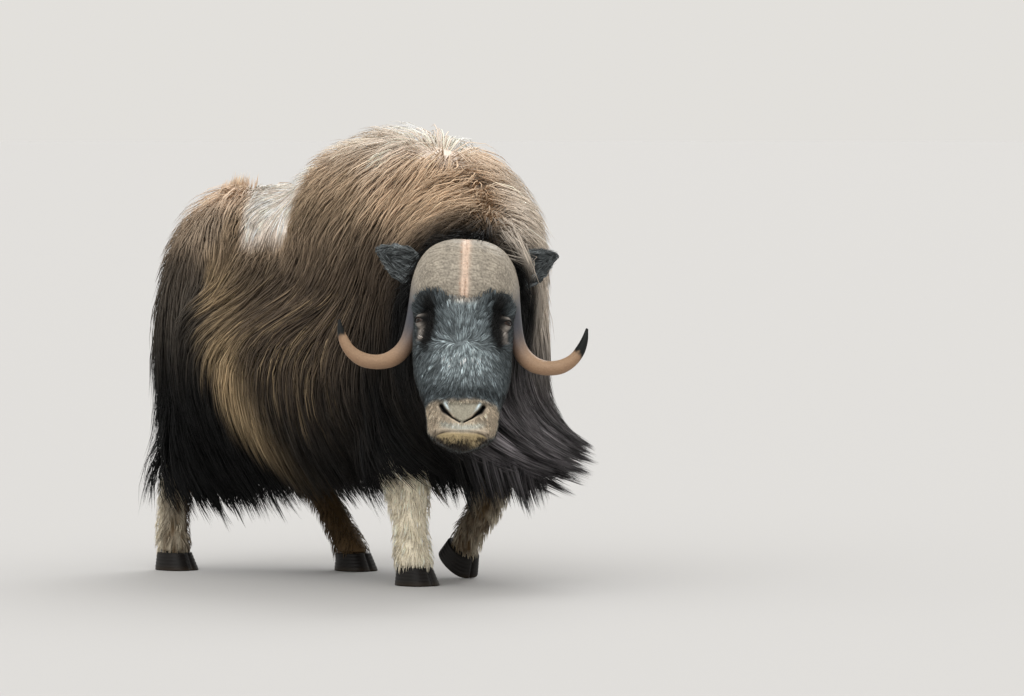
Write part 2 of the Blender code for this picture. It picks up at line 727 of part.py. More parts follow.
class Coat:
    """Locks rooted on the core, kept in one collection until they are fused to it."""

    def __init__(self, core):
        bm = bmesh.new()
        bm.from_mesh(core.data)
        self.tree = BVHTree.FromBMesh(bm)
        bm.free()
        self.chance = random.Random(SEED)
        self.pieces = bpy.data.collections.new("locks")
        bpy.context.scene.collection.children.link(self.pieces)

    def root(self, inside, outward):
        """Where a ray from outside, aimed at a point inside the core, meets its surface."""
        outward = outward.normalized()
        place, normal, _, _ = self.tree.ray_cast(inside + outward * FAR, -outward)
        return place, normal

    def path(self, place, normal, length, rise):
        """Points along a lock and the way its face looks at each, over the core or hanging clear of it."""
        points = [place - normal * LOCK_SINK]
        out = [normal]
        step = length / LOCK_STEPS
        heading = None
        for k in range(1, LOCK_STEPS + 1):
            _, facing, _, _ = self.tree.find_nearest(place)
            wish = lie(place).normalized()
            if wish.dot(facing) < 0 or place.z > FREE_LEVEL:
                wish = (wish - facing * wish.dot(facing)).normalized()
            heading = (heading * LOCK_STIFFNESS + wish).normalized() if heading else wish
            place = place + heading * step
            near, facing, _, _ = self.tree.find_nearest(place)
            wanted = rise * LOCK_RISE[k]
            if (place - near).dot(facing) < wanted or place.z > FREE_LEVEL:
                place = near + facing * wanted
            points.append(place)
            out.append((out[-1] + facing).normalized())
        return points, out

    def add(self, place, normal, length, width, rise):
        """A flat lock with a low ridge along its outer face, widest near its root and drawn to a point."""
        length *= self.chance.uniform(0.88, 1.14)
        width *= self.chance.uniform(0.90, 1.10)
        rise *= self.chance.uniform(0.80, 1.10)
        points, out = self.path(place, normal, length, rise)
        rings = []
        for k in range(LOCK_STEPS):
            heading = (points[k + 1] - points[max(0, k - 1)]).normalized()
            if k == 0:
                heading = (points[2] - points[1]).normalized()
            across = heading.cross(out[k]).normalized()
            thick = across.cross(heading).normalized()
            half = width / 2 * LOCK_SPREAD[k]
            ridge = width * LOCK_FLATNESS * (0.4 + 0.6 * LOCK_SPREAD[k])
            ring = self.section(points[k], across * half, thick * ridge)
            for _ in range(SECTION_TRIES):
                if rings and self.crosses(rings[-1], ring, heading):
                    half *= 0.8
                    ridge *= 0.8
                    ring = self.section(points[k], across * half, thick * ridge)
            if rings and self.crosses(rings[-1], ring, heading):
                return
            rings.append(ring)
        add_object("lock", *loft(rings, tip=points[-1]), collection=self.pieces)

    def section(self, centre, across, ridge):
        return [centre + across, centre + ridge, centre - across]

    def crosses(self, before, ring, heading):
        """Whether one section has run back through the last, as at the inside of a sharp bend."""
        return min((b - a).dot(heading) for a, b in zip(before, ring)) < SECTION_CLEARANCE

    def jitter(self, reach):
        return self.chance.uniform(-reach, reach)

    def trunk(self):
        for row, (first, last, angle, count, length, width, rise) in enumerate(COAT_ROWS):
            for i in range(count):
                for side in (1, -1):
                    share = (i + 0.25 + 0.5 * (row % 2) + self.jitter(0.15)) / count
                    x = first + (last - first) * share
                    place, normal = self.root_round(x, side * (angle + self.jitter(ROW_TURN_JITTER)))
                    short = self.saddle(x) if row == 0 else 1.0
                    self.add(place, normal, length * (0.7 + 0.3 * short), width, rise * short)
        for x in CREST_STATIONS:
            place, normal = self.root_round(x, self.jitter(3))
            short = self.saddle(x)
            self.add(place, normal, CREST_LENGTH * (0.6 + 0.4 * short), COAT_ROWS[0][5], CREST_RISE * short)

    def root_round(self, x, angle):
        """A root on the trunk at a station and an angle from the crest, in degrees, left positive."""
        turn = math.radians(angle)
        _, _, widest = spline(TRUNK_CORE, x)
        return self.root(Vector((x, 0, widest)), Vector((0, math.sin(turn), math.cos(turn))))

    def saddle(self, x):
        """The pale saddle behind the hump is short wool, so its locks lie close."""
        inside = smoothstep(SADDLE[0] - 0.10, SADDLE[0], x)
        inside *= 1 - smoothstep(SADDLE[1], SADDLE[1] + 0.12, x)
        return 1 - (1 - SADDLE_RISE) * inside

    def skirt(self):
        """The lowest locks, each as long as its way down to the level where the coat ends."""
        first, last, angle, count, width, rise = SKIRT_ROW
        for i in range(count):
            for side in (1, -1):
                x = first + (last - first) * (i + 0.5 + self.jitter(0.15)) / count
                place, normal = self.root_round(x, side * (angle + self.jitter(ROW_TURN_JITTER)))
                (level,) = spline(SKIRT_TIPS, x)
                self.add(place, normal, (place.z - level) * SKIRT_SLACK, width, rise)

    def rump(self):
        for level, count, length, reach in RUMP_ROWS:
            for i in range(count):
                turn = math.radians(reach * (2 * (i + 0.5) / count - 1) + self.jitter(5))
                outward = Vector((-math.cos(turn), math.sin(turn), 0))
                place, normal = self.root(Vector((RUMP_CENTRE_X, 0, level + self.jitter(0.02))), outward)
                self.add(place, normal, length, RUMP_WIDTH, RUMP_RISE)

    def neck(self):
        start, end = Vector(NECK_RINGS[1][0]), Vector(NECK_RINGS[3][0])
        heading = (end - start).normalized()
        across = heading.cross(Vector((0, 0, 1))).normalized()
        up = across.cross(heading)
        for share, length in NECK_ROWS:
            middle = start.lerp(end, share)
            for angle in NECK_ROW_ANGLES:
                turn = math.radians(angle + self.jitter(6))
                outward = up * math.cos(turn) - across * math.sin(turn)
                place, normal = self.root(middle, outward)
                self.add(place, normal, length, NECK_WIDTH, NECK_RISE)

    def beard(self):
        for level, length in BEARD_ROWS:
            for angle in BEARD_ANGLES:
                turn = math.radians(angle + self.jitter(6))
                outward = Vector((math.cos(turn), math.sin(turn), 0))
                middle = Vector((*THROAT_AXIS, level + self.jitter(0.02)))
                place, normal = self.root(middle, outward)
                downwind = max(0.0, outward.dot(WIND))
                self.add(place, normal, length * (1 - 0.30 * downwind), BEARD_WIDTH, BEARD_RISE)

    def fuse(self, core):
        boolean(core, self.pieces, "UNION")
        for piece in list(self.pieces.objects):
            remove(piece)
        bpy.data.collections.remove(self.pieces)


# Materials

SKIN_TONES = {
    "hindquarters": (0.060, 0.045, 0.036),
    "barrel": (0.115, 0.080, 0.055),
    "shoulders": (0.210, 0.150, 0.100),
    "neck": (0.110, 0.080, 0.058),
    "head": (0.085, 0.085, 0.085),
    "ear": (0.020, 0.020, 0.022),
    "eye": (0.015, 0.010, 0.008),
    "horn": (0.330, 0.220, 0.140),
    "leg": (0.420, 0.350, 0.260),
    "claw": (0.020, 0.018, 0.017),
    "tail": (0.060, 0.045, 0.036),
}


def paint():
    for thing in bpy.context.scene.objects:
        kind = thing.name.split("_")[0]
        material = bpy.data.materials.get(kind)
        if material is None:
            material = bpy.data.materials.new(kind)
            material.use_nodes = True
            shader = material.node_tree.nodes["Principled BSDF"]
            shader.inputs["Base Color"].default_value = (*SKIN_TONES[kind], 1)
            shader.inputs["Roughness"].default_value = 0.1 if kind == "eye" else 0.7
        thing.data.materials.clear()
        thing.data.materials.append(material)


def centre_on_floor():
    """Moves everything so that the origin is the middle of the object's box, on the floor."""
    corners = [v.co for thing in bpy.context.scene.objects for v in thing.data.vertices]
    low = Vector([min(c[k] for c in corners) for k in range(3)])
    high = Vector([max(c[k] for c in corners) for k in range(3)])
    shift = Matrix.Translation(Vector((-(low.x + high.x) / 2, -(low.y + high.y) / 2, 0)))
    for thing in bpy.context.scene.objects:
        thing.data.transform(shift)


def main():
    clear_scene()
    core = build_core()
    build_legs()
    build_horns()
    build_ears()
    build_head()
    tail = add_object("tail", *tail_shape())
    coat = Coat(core)
    coat.trunk()
    coat.skirt()
    coat.rump()
    coat.neck()
    coat.beard()
    coat.fuse(core)
    obstacles = [head_shape(GAP), tail_shape(GAP)]
    obstacles += [leg_shape(name, GAP) for name in LEGS]
    for side in (1, -1):
        obstacles += [horn_shape(side, GAP), ear_shape(side, GAP)]
    cut_clear(core, obstacles)
    zones = {
        "hindquarters": ((Vector((HIND_CUT, 0, 0)), Vector((-1, 0, 0))),),
        "barrel": (
            (Vector((HIND_CUT, 0, 0)), Vector((1, 0, 0))),
            (Vector((SHOULDER_CUT, 0, 0)), Vector((-1, 0, 0))),
        ),
        "shoulders": (
            (Vector((SHOULDER_CUT, 0, 0)), Vector((1, 0, 0))),
            (NECK_CUT_POINT, -NECK_CUT_NORMAL),
        ),
        "neck": (
            (Vector((SHOULDER_CUT, 0, 0)), Vector((1, 0, 0))),
            (NECK_CUT_POINT, NECK_CUT_NORMAL),
        ),
    }
    for name, planes in zones.items():
        zone = copy_of(core, name)
        for point, normal in planes:
            keep_side(zone, point, normal)
        keep_largest(zone)
    remove(core)
    paint()
    centre_on_floor()


main()
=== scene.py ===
"""Looks of a bull muskox, a still model at life size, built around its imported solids.

One skin stands for all the nodes of flesh. Its coat is made of thin, closed, tapered tufts that follow the
lie of the hair, in several meshes. Horns, eyes and hooves are pieces of their own. Shapes are worked out in
the animal's own frame, X forward along the trunk, Y to its left and Z up, in metres, and are then set where
the solids stand.
"""

import math

import bpy
import numpy as np
from mathutils import Matrix, Vector, noise
from mathutils.bvhtree import BVHTree
from mathutils.kdtree import KDTree


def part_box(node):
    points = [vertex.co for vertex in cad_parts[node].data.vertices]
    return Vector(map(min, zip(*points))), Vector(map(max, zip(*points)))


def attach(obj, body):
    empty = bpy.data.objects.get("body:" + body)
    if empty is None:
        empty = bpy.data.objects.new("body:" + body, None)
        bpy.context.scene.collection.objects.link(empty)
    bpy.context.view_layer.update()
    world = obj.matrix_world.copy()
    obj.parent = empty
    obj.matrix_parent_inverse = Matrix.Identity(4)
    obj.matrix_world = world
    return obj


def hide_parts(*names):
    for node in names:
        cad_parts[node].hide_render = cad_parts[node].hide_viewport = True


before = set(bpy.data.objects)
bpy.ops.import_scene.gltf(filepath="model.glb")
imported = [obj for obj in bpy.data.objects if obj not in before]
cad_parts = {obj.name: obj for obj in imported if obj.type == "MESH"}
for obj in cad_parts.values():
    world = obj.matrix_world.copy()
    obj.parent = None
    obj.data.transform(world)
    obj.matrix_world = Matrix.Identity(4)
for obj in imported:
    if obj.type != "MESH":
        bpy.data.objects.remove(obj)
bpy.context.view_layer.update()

bl_info = {
    "name": "Muskox still model",
    "version": (1, 0, 0),
    "blender": (4, 5, 0),
    "location": "View3D > Sidebar > Muskox",
    "description": "Builds the skin, coat, horns, eyes, hooves and stage of a life-size muskox",
    "category": "Object",
}

SEED = 7

# The trunk's core: x, half width, top, and the height of the widest place.
TRUNK_CORE = (
    (-0.865, 0.070, 0.930, 0.78),
    (-0.820, 0.158, 1.030, 0.79),
    (-0.720, 0.238, 1.135, 0.79),
    (-0.620, 0.284, 1.190, 0.78),
    (-0.480, 0.312, 1.190, 0.77),
    (-0.330, 0.320, 1.190, 0.77),
    (-0.200, 0.322, 1.262, 0.77),
    (-0.020, 0.322, 1.338, 0.78),
    (0.160, 0.315, 1.358, 0.80),
    (0.310, 0.280, 1.315, 0.82),
    (0.430, 0.220, 1.210, 0.82),
    (0.520, 0.145, 1.060, 0.80),
    (0.560, 0.070, 0.940, 0.78),
)
TRUNK_UPPER_POWER = 0.86
TRUNK_LOWER_POWER = 0.66
SKIN_BELLY = 0.455
TRUNK_MESH = (64, 56)
# The least half width of a tube after its inset
LEAST_RING = 0.006
# The saddle's wool is the shortest of the trunk, so the skin lies higher between these spans of x.
SADDLE_RAISED = 0.024
SADDLE_STARTS = (-0.68, -0.56)
SADDLE_ENDS = (-0.16, -0.26)

# Centre, half width and half height of each ring of the neck, the throat and the tail.
NECK_RINGS = (
    ((0.120, 0.000, 0.960), 0.24, 0.28),
    ((0.330, -0.040, 0.950), 0.25, 0.30),
    ((0.490, -0.130, 0.905), 0.22, 0.275),
    ((0.600, -0.235, 0.860), 0.19, 0.265),
    ((0.660, -0.300, 0.830), 0.13, 0.20),
)
THROAT_RINGS = (
    ((0.400, -0.060, 0.820), 0.17, 0.16),
    ((0.470, -0.110, 0.640), 0.15, 0.13),
    ((0.500, -0.120, 0.500), 0.12, 0.10),
)
# Rings and sides of each
NECK_MESH = (30, 40)
THROAT_MESH = (20, 32)
TAIL_MESH = (16, 16)
# How far the skin lies under the tail's hair
TAIL_DEPTH = 0.008
TAIL_RINGS = (
    ((-0.800, 0.000, 1.000), 0.040, 0.032),
    ((-0.880, 0.000, 0.985), 0.036, 0.028),
    ((-0.925, 0.000, 0.930), 0.028, 0.022),
    ((-0.935, 0.000, 0.860), 0.016, 0.013),
)

# The head's frame has its origin between the eyes: forward, left and up along the face.
HEAD_CENTRE = (0.750, -0.410, 0.791)
HEAD_YAW = math.radians(-45)
HEAD_TILT = math.radians(20)
HEAD_ROLL = math.radians(2.2)
# Height along the face, half width, front, back, and the power of the section: a lower one is squarer.
HEAD_PROFILE = (
    (0.235, 0.060, 0.010, -0.085, 0.95),
    (0.205, 0.110, 0.050, -0.130, 0.90),
    (0.140, 0.140, 0.095, -0.165, 0.85),
    (0.070, 0.148, 0.116, -0.178, 0.80),
    (0.000, 0.147, 0.122, -0.182, 0.80),
    (-0.080, 0.145, 0.121, -0.172, 0.80),
    (-0.150, 0.140, 0.118, -0.145, 0.78),
    (-0.210, 0.124, 0.115, -0.108, 0.74),
    (-0.255, 0.107, 0.117, -0.084, 0.70),
    (-0.298, 0.101, 0.121, -0.068, 0.68),
    (-0.335, 0.094, 0.114, -0.054, 0.72),
    (-0.362, 0.067, 0.094, -0.036, 0.82),
    (-0.382, 0.029, 0.052, -0.005, 0.92),
)
# Start, end and step of the head's rows and columns, closest at the eyes, nostrils and lips.
HEAD_LEVELS = (
    (0.235, 0.034, 0.006),
    (0.034, -0.034, 0.0016),
    (-0.034, -0.250, 0.004),
    (-0.250, -0.382, 0.002),
)
HEAD_TURNS = ((0.0, 0.75, 0.022), (0.75, 0.98, 0.03), (0.98, 1.56, 0.011), (1.56, math.pi, 0.05))
# Level and its reach, how far forward and its reach, and the side at which each form starts and is whole.
SOCKET_FORM = (0.004, 0.040, 0.082, 0.026, 0.05, 0.11)
BROW_FORM = (0.050, 0.022, 0.065, 0.040, 0.06, 0.12)
TEAR_FORM = (-0.050, 0.030, 0.090, 0.026, 0.05, 0.10)
# How far the muzzle is carried to the animal's left
NOSE_SET = 0.009
# Depth of the face's hair and of the bare nose under the head's solid
FACE_FUR = 0.004
BARE_SKIN = 0.001
EYE_PLACE = (0.058, 0.120, 0.000)
EYE_RADIUS = 0.021
EYE_OUT = (0.68, 0.73, -0.05)
LID = 0.0028
# Sides of the eyeball's rings
EYE_SIDES = 64
# Shares of the eyeball's radius at which the iris turns dark and the white starts, and the pupil's size
IRIS_EDGE = (0.84, 0.90)
WHITE_EDGE = (0.93, 0.97)
PUPIL = (0.42, 0.17)
# Half length of the slit between the lids, and its height above and below the line that the lids meet on
SLIT = (0.0185, 0.0098, 0.0074)
# Each fold round the eye: how far out from the slit it lies, and its depth
LID_FOLDS = ((0.0065, 0.0018), (0.0125, 0.0016), (0.019, 0.0012))
MOUTH_LEVEL = -0.350
# Side, level and half width of each point along a nostril, and its depth there
NOSTRIL = (
    (0.062, -0.274, 0.0075),
    (0.052, -0.291, 0.0070),
    (0.030, -0.311, 0.0040),
    (0.004, -0.325, 0.0028),
)
NOSTRIL_DEPTH = (0.020, 0.016, 0.008, 0.005)
# The bare pad between the nostrils: its half width, the level of that, how it widens upward, and its top
NOSE_PAD = (0.058, -0.276, 1.05, -0.262)
# The levels that the face's hair grows between, and the level of its whorl
FACE_LEVELS = (-0.262, 0.058)
WHORL_LEVEL = -0.082

# The horn's sections: inner and outer edge as left and up, how far forward they lie, and half thickness.
HORN_RINGS = (
    ((0.000, 0.010), (0.000, 0.266), 0.026, 0.114),
    ((0.032, 0.016), (0.052, 0.262), 0.024, 0.113),
    ((0.064, 0.028), (0.104, 0.240), 0.018, 0.107),
    ((0.090, 0.036), (0.138, 0.202), 0.008, 0.092),
    ((0.108, 0.032), (0.157, 0.150), -0.004, 0.070),
    ((0.120, 0.012), (0.164, 0.095), -0.014, 0.052),
    ((0.127, -0.012), (0.170, 0.040), -0.020, 0.038),
    ((0.138, -0.040), (0.178, -0.008), -0.020, 0.030),
    ((0.154, -0.076), (0.188, -0.040), -0.014, 0.026),
    ((0.176, -0.106), (0.205, -0.066), -0.006, 0.024),
    ((0.208, -0.128), (0.229, -0.086), 0.004, 0.0225),
    ((0.252, -0.139), (0.256, -0.096), 0.016, 0.0215),
    ((0.298, -0.136), (0.288, -0.095), 0.030, 0.020),
    ((0.334, -0.116), (0.316, -0.084), 0.046, 0.018),
    ((0.358, -0.085), (0.334, -0.065), 0.062, 0.015),
    ((0.368, -0.050), (0.349, -0.041), 0.076, 0.011),
    ((0.368, -0.016), (0.361, -0.013), 0.088, 0.003),
)
# The section that the black of each tip starts at
HORN_BLACK_FROM = {"horn_left": 13.4, "horn_right": 14.3}
# Sections of the horn's mesh along the boss, which ends at this one, and beyond it, and points round each
BOSS_END = 6
HORN_MESH = (110, 90, 230)
# Place, half width and cup depth of each section of the ear, from its root to its tip.
EAR_RINGS = (
    ((-0.082, 0.118, 0.172), 0.034, 0.014),
    ((-0.076, 0.154, 0.200), 0.052, 0.028),
    ((-0.070, 0.190, 0.222), 0.052, 0.032),
    ((-0.062, 0.222, 0.240), 0.038, 0.024),
    ((-0.055, 0.249, 0.251), 0.019, 0.012),
    ((-0.050, 0.268, 0.256), 0.003, 0.002),
)
EAR_WALL = 0.010
EAR_MESH = (34, 15)

# Centre, half length and half width of each ring of the legs, from inside the trunk to the hooves.
LEGS = {
    "front_right": (
        ((0.235, -0.165, 0.400), 0.084, 0.072),
        ((0.250, -0.167, 0.330), 0.080, 0.070),
        ((0.268, -0.170, 0.260), 0.074, 0.066),
        ((0.278, -0.170, 0.180), 0.060, 0.055),
        ((0.286, -0.170, 0.110), 0.064, 0.058),
        ((0.296, -0.170, 0.055), 0.066, 0.060),
    ),
    "front_left": (
        ((0.240, 0.160, 0.400), 0.090, 0.078),
        ((0.276, 0.158, 0.330), 0.080, 0.070),
        ((0.290, 0.156, 0.270), 0.068, 0.062),
        ((0.262, 0.154, 0.210), 0.058, 0.054),
        ((0.212, 0.152, 0.150), 0.052, 0.050),
        ((0.180, 0.152, 0.092), 0.054, 0.052),
    ),
    "hind_right": (
        ((-0.690, -0.145, 0.400), 0.080, 0.066),
        ((-0.735, -0.158, 0.330), 0.072, 0.060),
        ((-0.762, -0.175, 0.260), 0.064, 0.056),
        ((-0.766, -0.188, 0.180), 0.055, 0.052),
        ((-0.760, -0.195, 0.110), 0.060, 0.055),
        ((-0.750, -0.198, 0.055), 0.063, 0.057),
    ),
    "hind_left": (
        ((-0.560, 0.150, 0.400), 0.090, 0.070),
        ((-0.540, 0.156, 0.330), 0.082, 0.066),
        ((-0.492, 0.169, 0.260), 0.068, 0.060),
        ((-0.424, 0.170, 0.180), 0.058, 0.053),
        ((-0.366, 0.170, 0.110), 0.060, 0.054),
        ((-0.326, 0.170, 0.055), 0.064, 0.057),
    ),
}
LEG_ROOT = 0.53
LEG_MESH = (40, 28)
# The leg whose heel is lifted, and the share of the toe's tilt that each of its rings leans by
BENT_LEG = "front_left"
BENT_LEANS = (0.0, 0.0, 0.10, 0.45, 0.80, 0.80, 1.0)
TOE_TILT = math.radians(38)
CLAW_LENGTH = 0.135
CLAW_WIDTH = 0.058
CLAW_TOP = 0.055
# How much further forward the sole lies than the top
TOE_LEAN = 0.012
CLEFT = 0.006

# x and the level that the skirt's tips hang to
SKIRT_TIPS = ((-0.85, 0.175), (-0.55, 0.215), (-0.20, 0.240), (0.10, 0.260), (0.28, 0.310), (0.45, 0.260))
WIND = np.array((0.7071, 0.7071, 0.0))
# Where the beard starts, from which it is measured along the wind
BEARD_ROOT = np.array((0.44, -0.09, 0))
# Levels that the legs' wool, the skirt, the neck's and the flanks' hair reach up to
LEG_TOP = 0.43
SKIRT_TOP = 0.60
NECK_TOP = 0.90
FLANK_TOP = 0.98
# The levels that the beard grows between
BEARD_LEVELS = (0.44, 0.70)
# The x that each part of the coat reaches forward to
REAR_END = -0.42
RUMP_END = -0.27
FLANK_END = 0.16
SKIRT_END = 0.36
HUMP_END = 0.40
SHOULDER_END = 0.44
# Further than the animal reaches
BEYOND = 2

# The view: the photograph's frame in pixels, its scale, and the pixel that the animal's own origin falls on.
IMAGE = (1024, 696)
PIXELS_A_METRE = 326.0
ORIGIN_PIXEL = (387, 578)
CAMERA_DISTANCE = 22.0
CAMERA_AZIMUTH = math.radians(45)
CAMERA_ELEVATION = math.radians(2)
SENSOR = 36.0


# Sums


def smoothstep(low, high, value):
    share = np.clip((value - low) / (high - low), 0.0, 1.0)
    return share * share * (3 - 2 * share)


def bell(distance, reach):
    return np.exp(-((distance / reach) ** 2))


def unit(vectors):
    return vectors / np.maximum(np.linalg.norm(vectors, axis=-1, keepdims=True), 1e-9)


def dot(a, b):
    return (a * b).sum(-1)


def spline(rows, at):
    """The columns of a table at places along its first column, by a smooth curve through its rows."""
    table = np.array(rows, float)
    if table[0, 0] > table[-1, 0]:
        table = table[::-1]
    keys = table[:, 0]
    at = np.clip(np.asarray(at, float), keys[0], keys[-1])
    i = np.clip(np.searchsorted(keys, at) - 1, 0, len(keys) - 2)
    before, start, end, after = (table[np.clip(i + k, 0, len(keys) - 1)] for k in (-1, 0, 1, 2))
    span = end[..., :1] - start[..., :1]
    t = (at[..., None] - start[..., :1]) / span
    slope_in = (end - before) / (end[..., :1] - before[..., :1]) * span
    slope_out = (after - start) / (after[..., :1] - start[..., :1]) * span
    made = (2 * t**3 - 3 * t**2 + 1) * start + (t**3 - 2 * t**2 + t) * slope_in
    made = made + (3 * t**2 - 2 * t**3) * end + (t**3 - t**2) * slope_out
    return np.moveaxis(made[..., 1:], -1, 0)


def grain(points, size, octaves=1):
    """Smooth noise from -1 to 1 at each point, with lumps of about this size."""
    made = [noise.fractal(Vector(p), 1.0, 2.0, octaves) for p in np.asarray(points, float) / size]
    return np.clip(np.array(made), -1, 1)


def linear(colour):
    """A colour as the eye sees it, as the light values that a shader takes."""
    c = np.array(colour[:3], float)
    return np.where(c < 0.04045, c / 12.92, ((c + 0.055) / 1.055) ** 2.4)


def mix(a, b, share):
    """a turned towards b by a share for each point. Either may be one colour or one for each point."""
    share = np.asarray(share, float)[..., None]
    return a * (1 - share) + b * share


def head_matrix():
    forward = Vector((math.cos(HEAD_YAW), math.sin(HEAD_YAW), 0))
    left = Vector((0, 0, 1)).cross(forward)
    up = Vector((0, 0, 1)) * math.cos(HEAD_TILT) - forward * math.sin(HEAD_TILT)
    face = left.cross(up)
    turned_left = left * math.cos(HEAD_ROLL) - up * math.sin(HEAD_ROLL)
    turned_up = up * math.cos(HEAD_ROLL) + left * math.sin(HEAD_ROLL)
    turn = Matrix((face, turned_left, turned_up)).transposed().to_4x4()
    return Matrix.Translation(Vector(HEAD_CENTRE)) @ turn


HEAD = head_matrix()
HEAD_TURN = np.array(HEAD.to_3x3())
HEAD_ORIGIN = np.array(HEAD_CENTRE)


def from_head(points):
    return np.asarray(points, float) @ HEAD_TURN.T + HEAD_ORIGIN


def nose_set(level):
    """How far the muzzle is carried to the left at a level of the face."""
    return NOSE_SET * smoothstep(-0.06, -0.30, level)


def to_head(points):
    """Places in the head's frame, as if the muzzle were straight."""
    local = (np.asarray(points, float) - HEAD_ORIGIN) @ HEAD_TURN
    local[..., 1] -= nose_set(local[..., 2])
    return local


def animal_to_frame():
    """How far the solids stand from the animal's own frame, read off the left eye."""
    low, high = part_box("eye_left")
    return (low + high) / 2 - HEAD @ Vector(EYE_PLACE)


SHIFT = animal_to_frame()


# Meshes


def mesh_object(name, points, loops, starts):
    """A mesh from points in the animal's frame, the corners of all its faces, and where each face starts."""
    mesh = bpy.data.meshes.new(name)
    placed = np.asarray(points, np.float32) + np.array(SHIFT, np.float32)
    mesh.vertices.add(len(placed))
    mesh.vertices.foreach_set("co", placed.ravel())
    mesh.loops.add(len(loops))
    mesh.loops.foreach_set("vertex_index", np.asarray(loops, np.int32))
    mesh.polygons.add(len(starts))
    mesh.polygons.foreach_set("loop_start", np.asarray(starts, np.int32))
    mesh.update(calc_edges=True)
    mesh.validate()
    mesh.shade_smooth()
    thing = bpy.data.objects.new(name, mesh)
    bpy.context.scene.collection.objects.link(thing)
    return thing


def from_faces(name, points, faces):
    loops = [corner for face in faces for corner in face]
    starts = np.cumsum([0] + [len(face) for face in faces[:-1]])
    return mesh_object(name, points, loops, starts)


def grid_faces(rows, sides):
    """Quads of a closed tube of rings, and the fans that shut its ends at two extra points after them."""
    i = np.arange(rows - 1)[:, None] * sides
    j = np.arange(sides)[None, :]
    k = (j + 1) % sides
    faces = np.stack([i + j, i + k, i + sides + k, i + sides + j], -1).reshape(-1, 4).tolist()
    last = (rows - 1) * sides
    end = rows * sides
    faces += [((n + 1) % sides, n, end) for n in range(sides)]
    faces += [(last + n, last + (n + 1) % sides, end + 1) for n in range(sides)]
    return faces


def closed_grid(grid, root=None, tip=None):
    """Points and faces of a closed tube from an array of rings, with its faces looking out."""
    rows, sides, _ = grid.shape
    root = grid[0].mean(0) if root is None else root
    tip = grid[-1].mean(0) if tip is None else tip
    points = np.concatenate([grid.reshape(-1, 3), [root, tip]])
    faces = grid_faces(rows, sides)
    heart = points.mean(0)
    corners = points[np.array([face[:3] for face in faces])] - heart
    if np.linalg.det(corners).sum() < 0:
        faces = [face[::-1] for face in faces]
    return points, faces


def joined(name, pieces):
    """One object from several closed tubes."""
    points = []
    faces = []
    for some, theirs in pieces:
        base = sum(len(p) for p in points)
        faces += [[corner + base for corner in face] for face in theirs]
        points.append(some)
    return from_faces(name, np.concatenate(points), faces)


def turns(count):
    """Equal steps round a circle."""
    return np.linspace(0, 2 * math.pi, count, endpoint=False)


def numbered(rings):
    """Each ring's centre and sizes in one row behind its number, for spline."""
    return [(i, *centre, *sizes) for i, (centre, *sizes) in enumerate(rings)]


def smooth_tube(rings, count, sides, inset):
    """A tube through elliptic rings, on a smooth curve through their centres, thinner by the inset."""
    values = spline(numbered(rings), np.linspace(0, len(rings) - 1, count))
    centres = np.stack(values[:3], -1)
    heading = unit(np.gradient(centres, axis=0))
    left = np.array((0, 1.0, 0))
    across = unit(left - heading * dot(heading, left)[:, None])
    along = np.cross(heading, across)
    turn = turns(sides)[None, :, None]
    wide, tall = (np.maximum(sizes - inset, LEAST_RING)[:, None, None] for sizes in values[3:])
    ring = across[:, None] * np.cos(turn) * wide + along[:, None] * np.sin(turn) * tall
    return closed_grid(centres[:, None] + ring)


def apply_modifiers(thing):
    """Takes a mesh through its modifiers and leaves none on it."""
    bpy.context.view_layer.update()
    graph = bpy.context.evaluated_depsgraph_get()
    mesh = bpy.data.meshes.new_from_object(thing.evaluated_get(graph))
    thing.modifiers.clear()
    thing.data = mesh
    mesh.shade_smooth()


def unite(thing, other):
    modifier = thing.modifiers.new("join", "BOOLEAN")
    modifier.operation = "UNION"
    modifier.solver = "MANIFOLD"
    modifier.object = other
    apply_modifiers(thing)
    bpy.data.objects.remove(other)


def points_of(mesh):
    flat = np.empty(len(mesh.vertices) * 3, np.float32)
    mesh.vertices.foreach_get("co", flat)
    return flat.reshape(-1, 3).astype(float) - np.array(SHIFT)


def colour_by(thing, colours):
    """Stores a colour for each point of a mesh, which its material reads."""
    attribute = thing.data.color_attributes.new("tone", "FLOAT_COLOR", "POINT")
    rgba = np.ones((len(colours), 4), np.float32)
    rgba[:, :3] = colours
    attribute.data.foreach_set("color", rgba.ravel())


# Flesh


def trunk_grid(inset):
    """The trunk, thinner than the coat's core by the inset."""
    x = np.linspace(TRUNK_CORE[0][0] + inset, TRUNK_CORE[-1][0] - inset, TRUNK_MESH[0])
    half, top, widest = (v[:, None] for v in spline(TRUNK_CORE, x))
    turn = turns(TRUNK_MESH[1])[None, :]
    sine = np.sin(turn)
    cosine = np.cos(turn)
    power = np.where(cosine > 0, TRUNK_UPPER_POWER, TRUNK_LOWER_POWER)
    y = np.maximum(half - inset, 0.02) * np.sign(sine) * np.abs(sine) ** power
    raised = SADDLE_RAISED * smoothstep(*SADDLE_STARTS, x) * smoothstep(*SADDLE_ENDS, x)
    height = np.where(cosine > 0, top + raised[:, None] - inset - widest, widest - SKIN_BELLY)
    z = widest + height * np.sign(cosine) * np.abs(cosine) ** power
    return np.stack([np.broadcast_to(x[:, None], y.shape), y, z], -1)


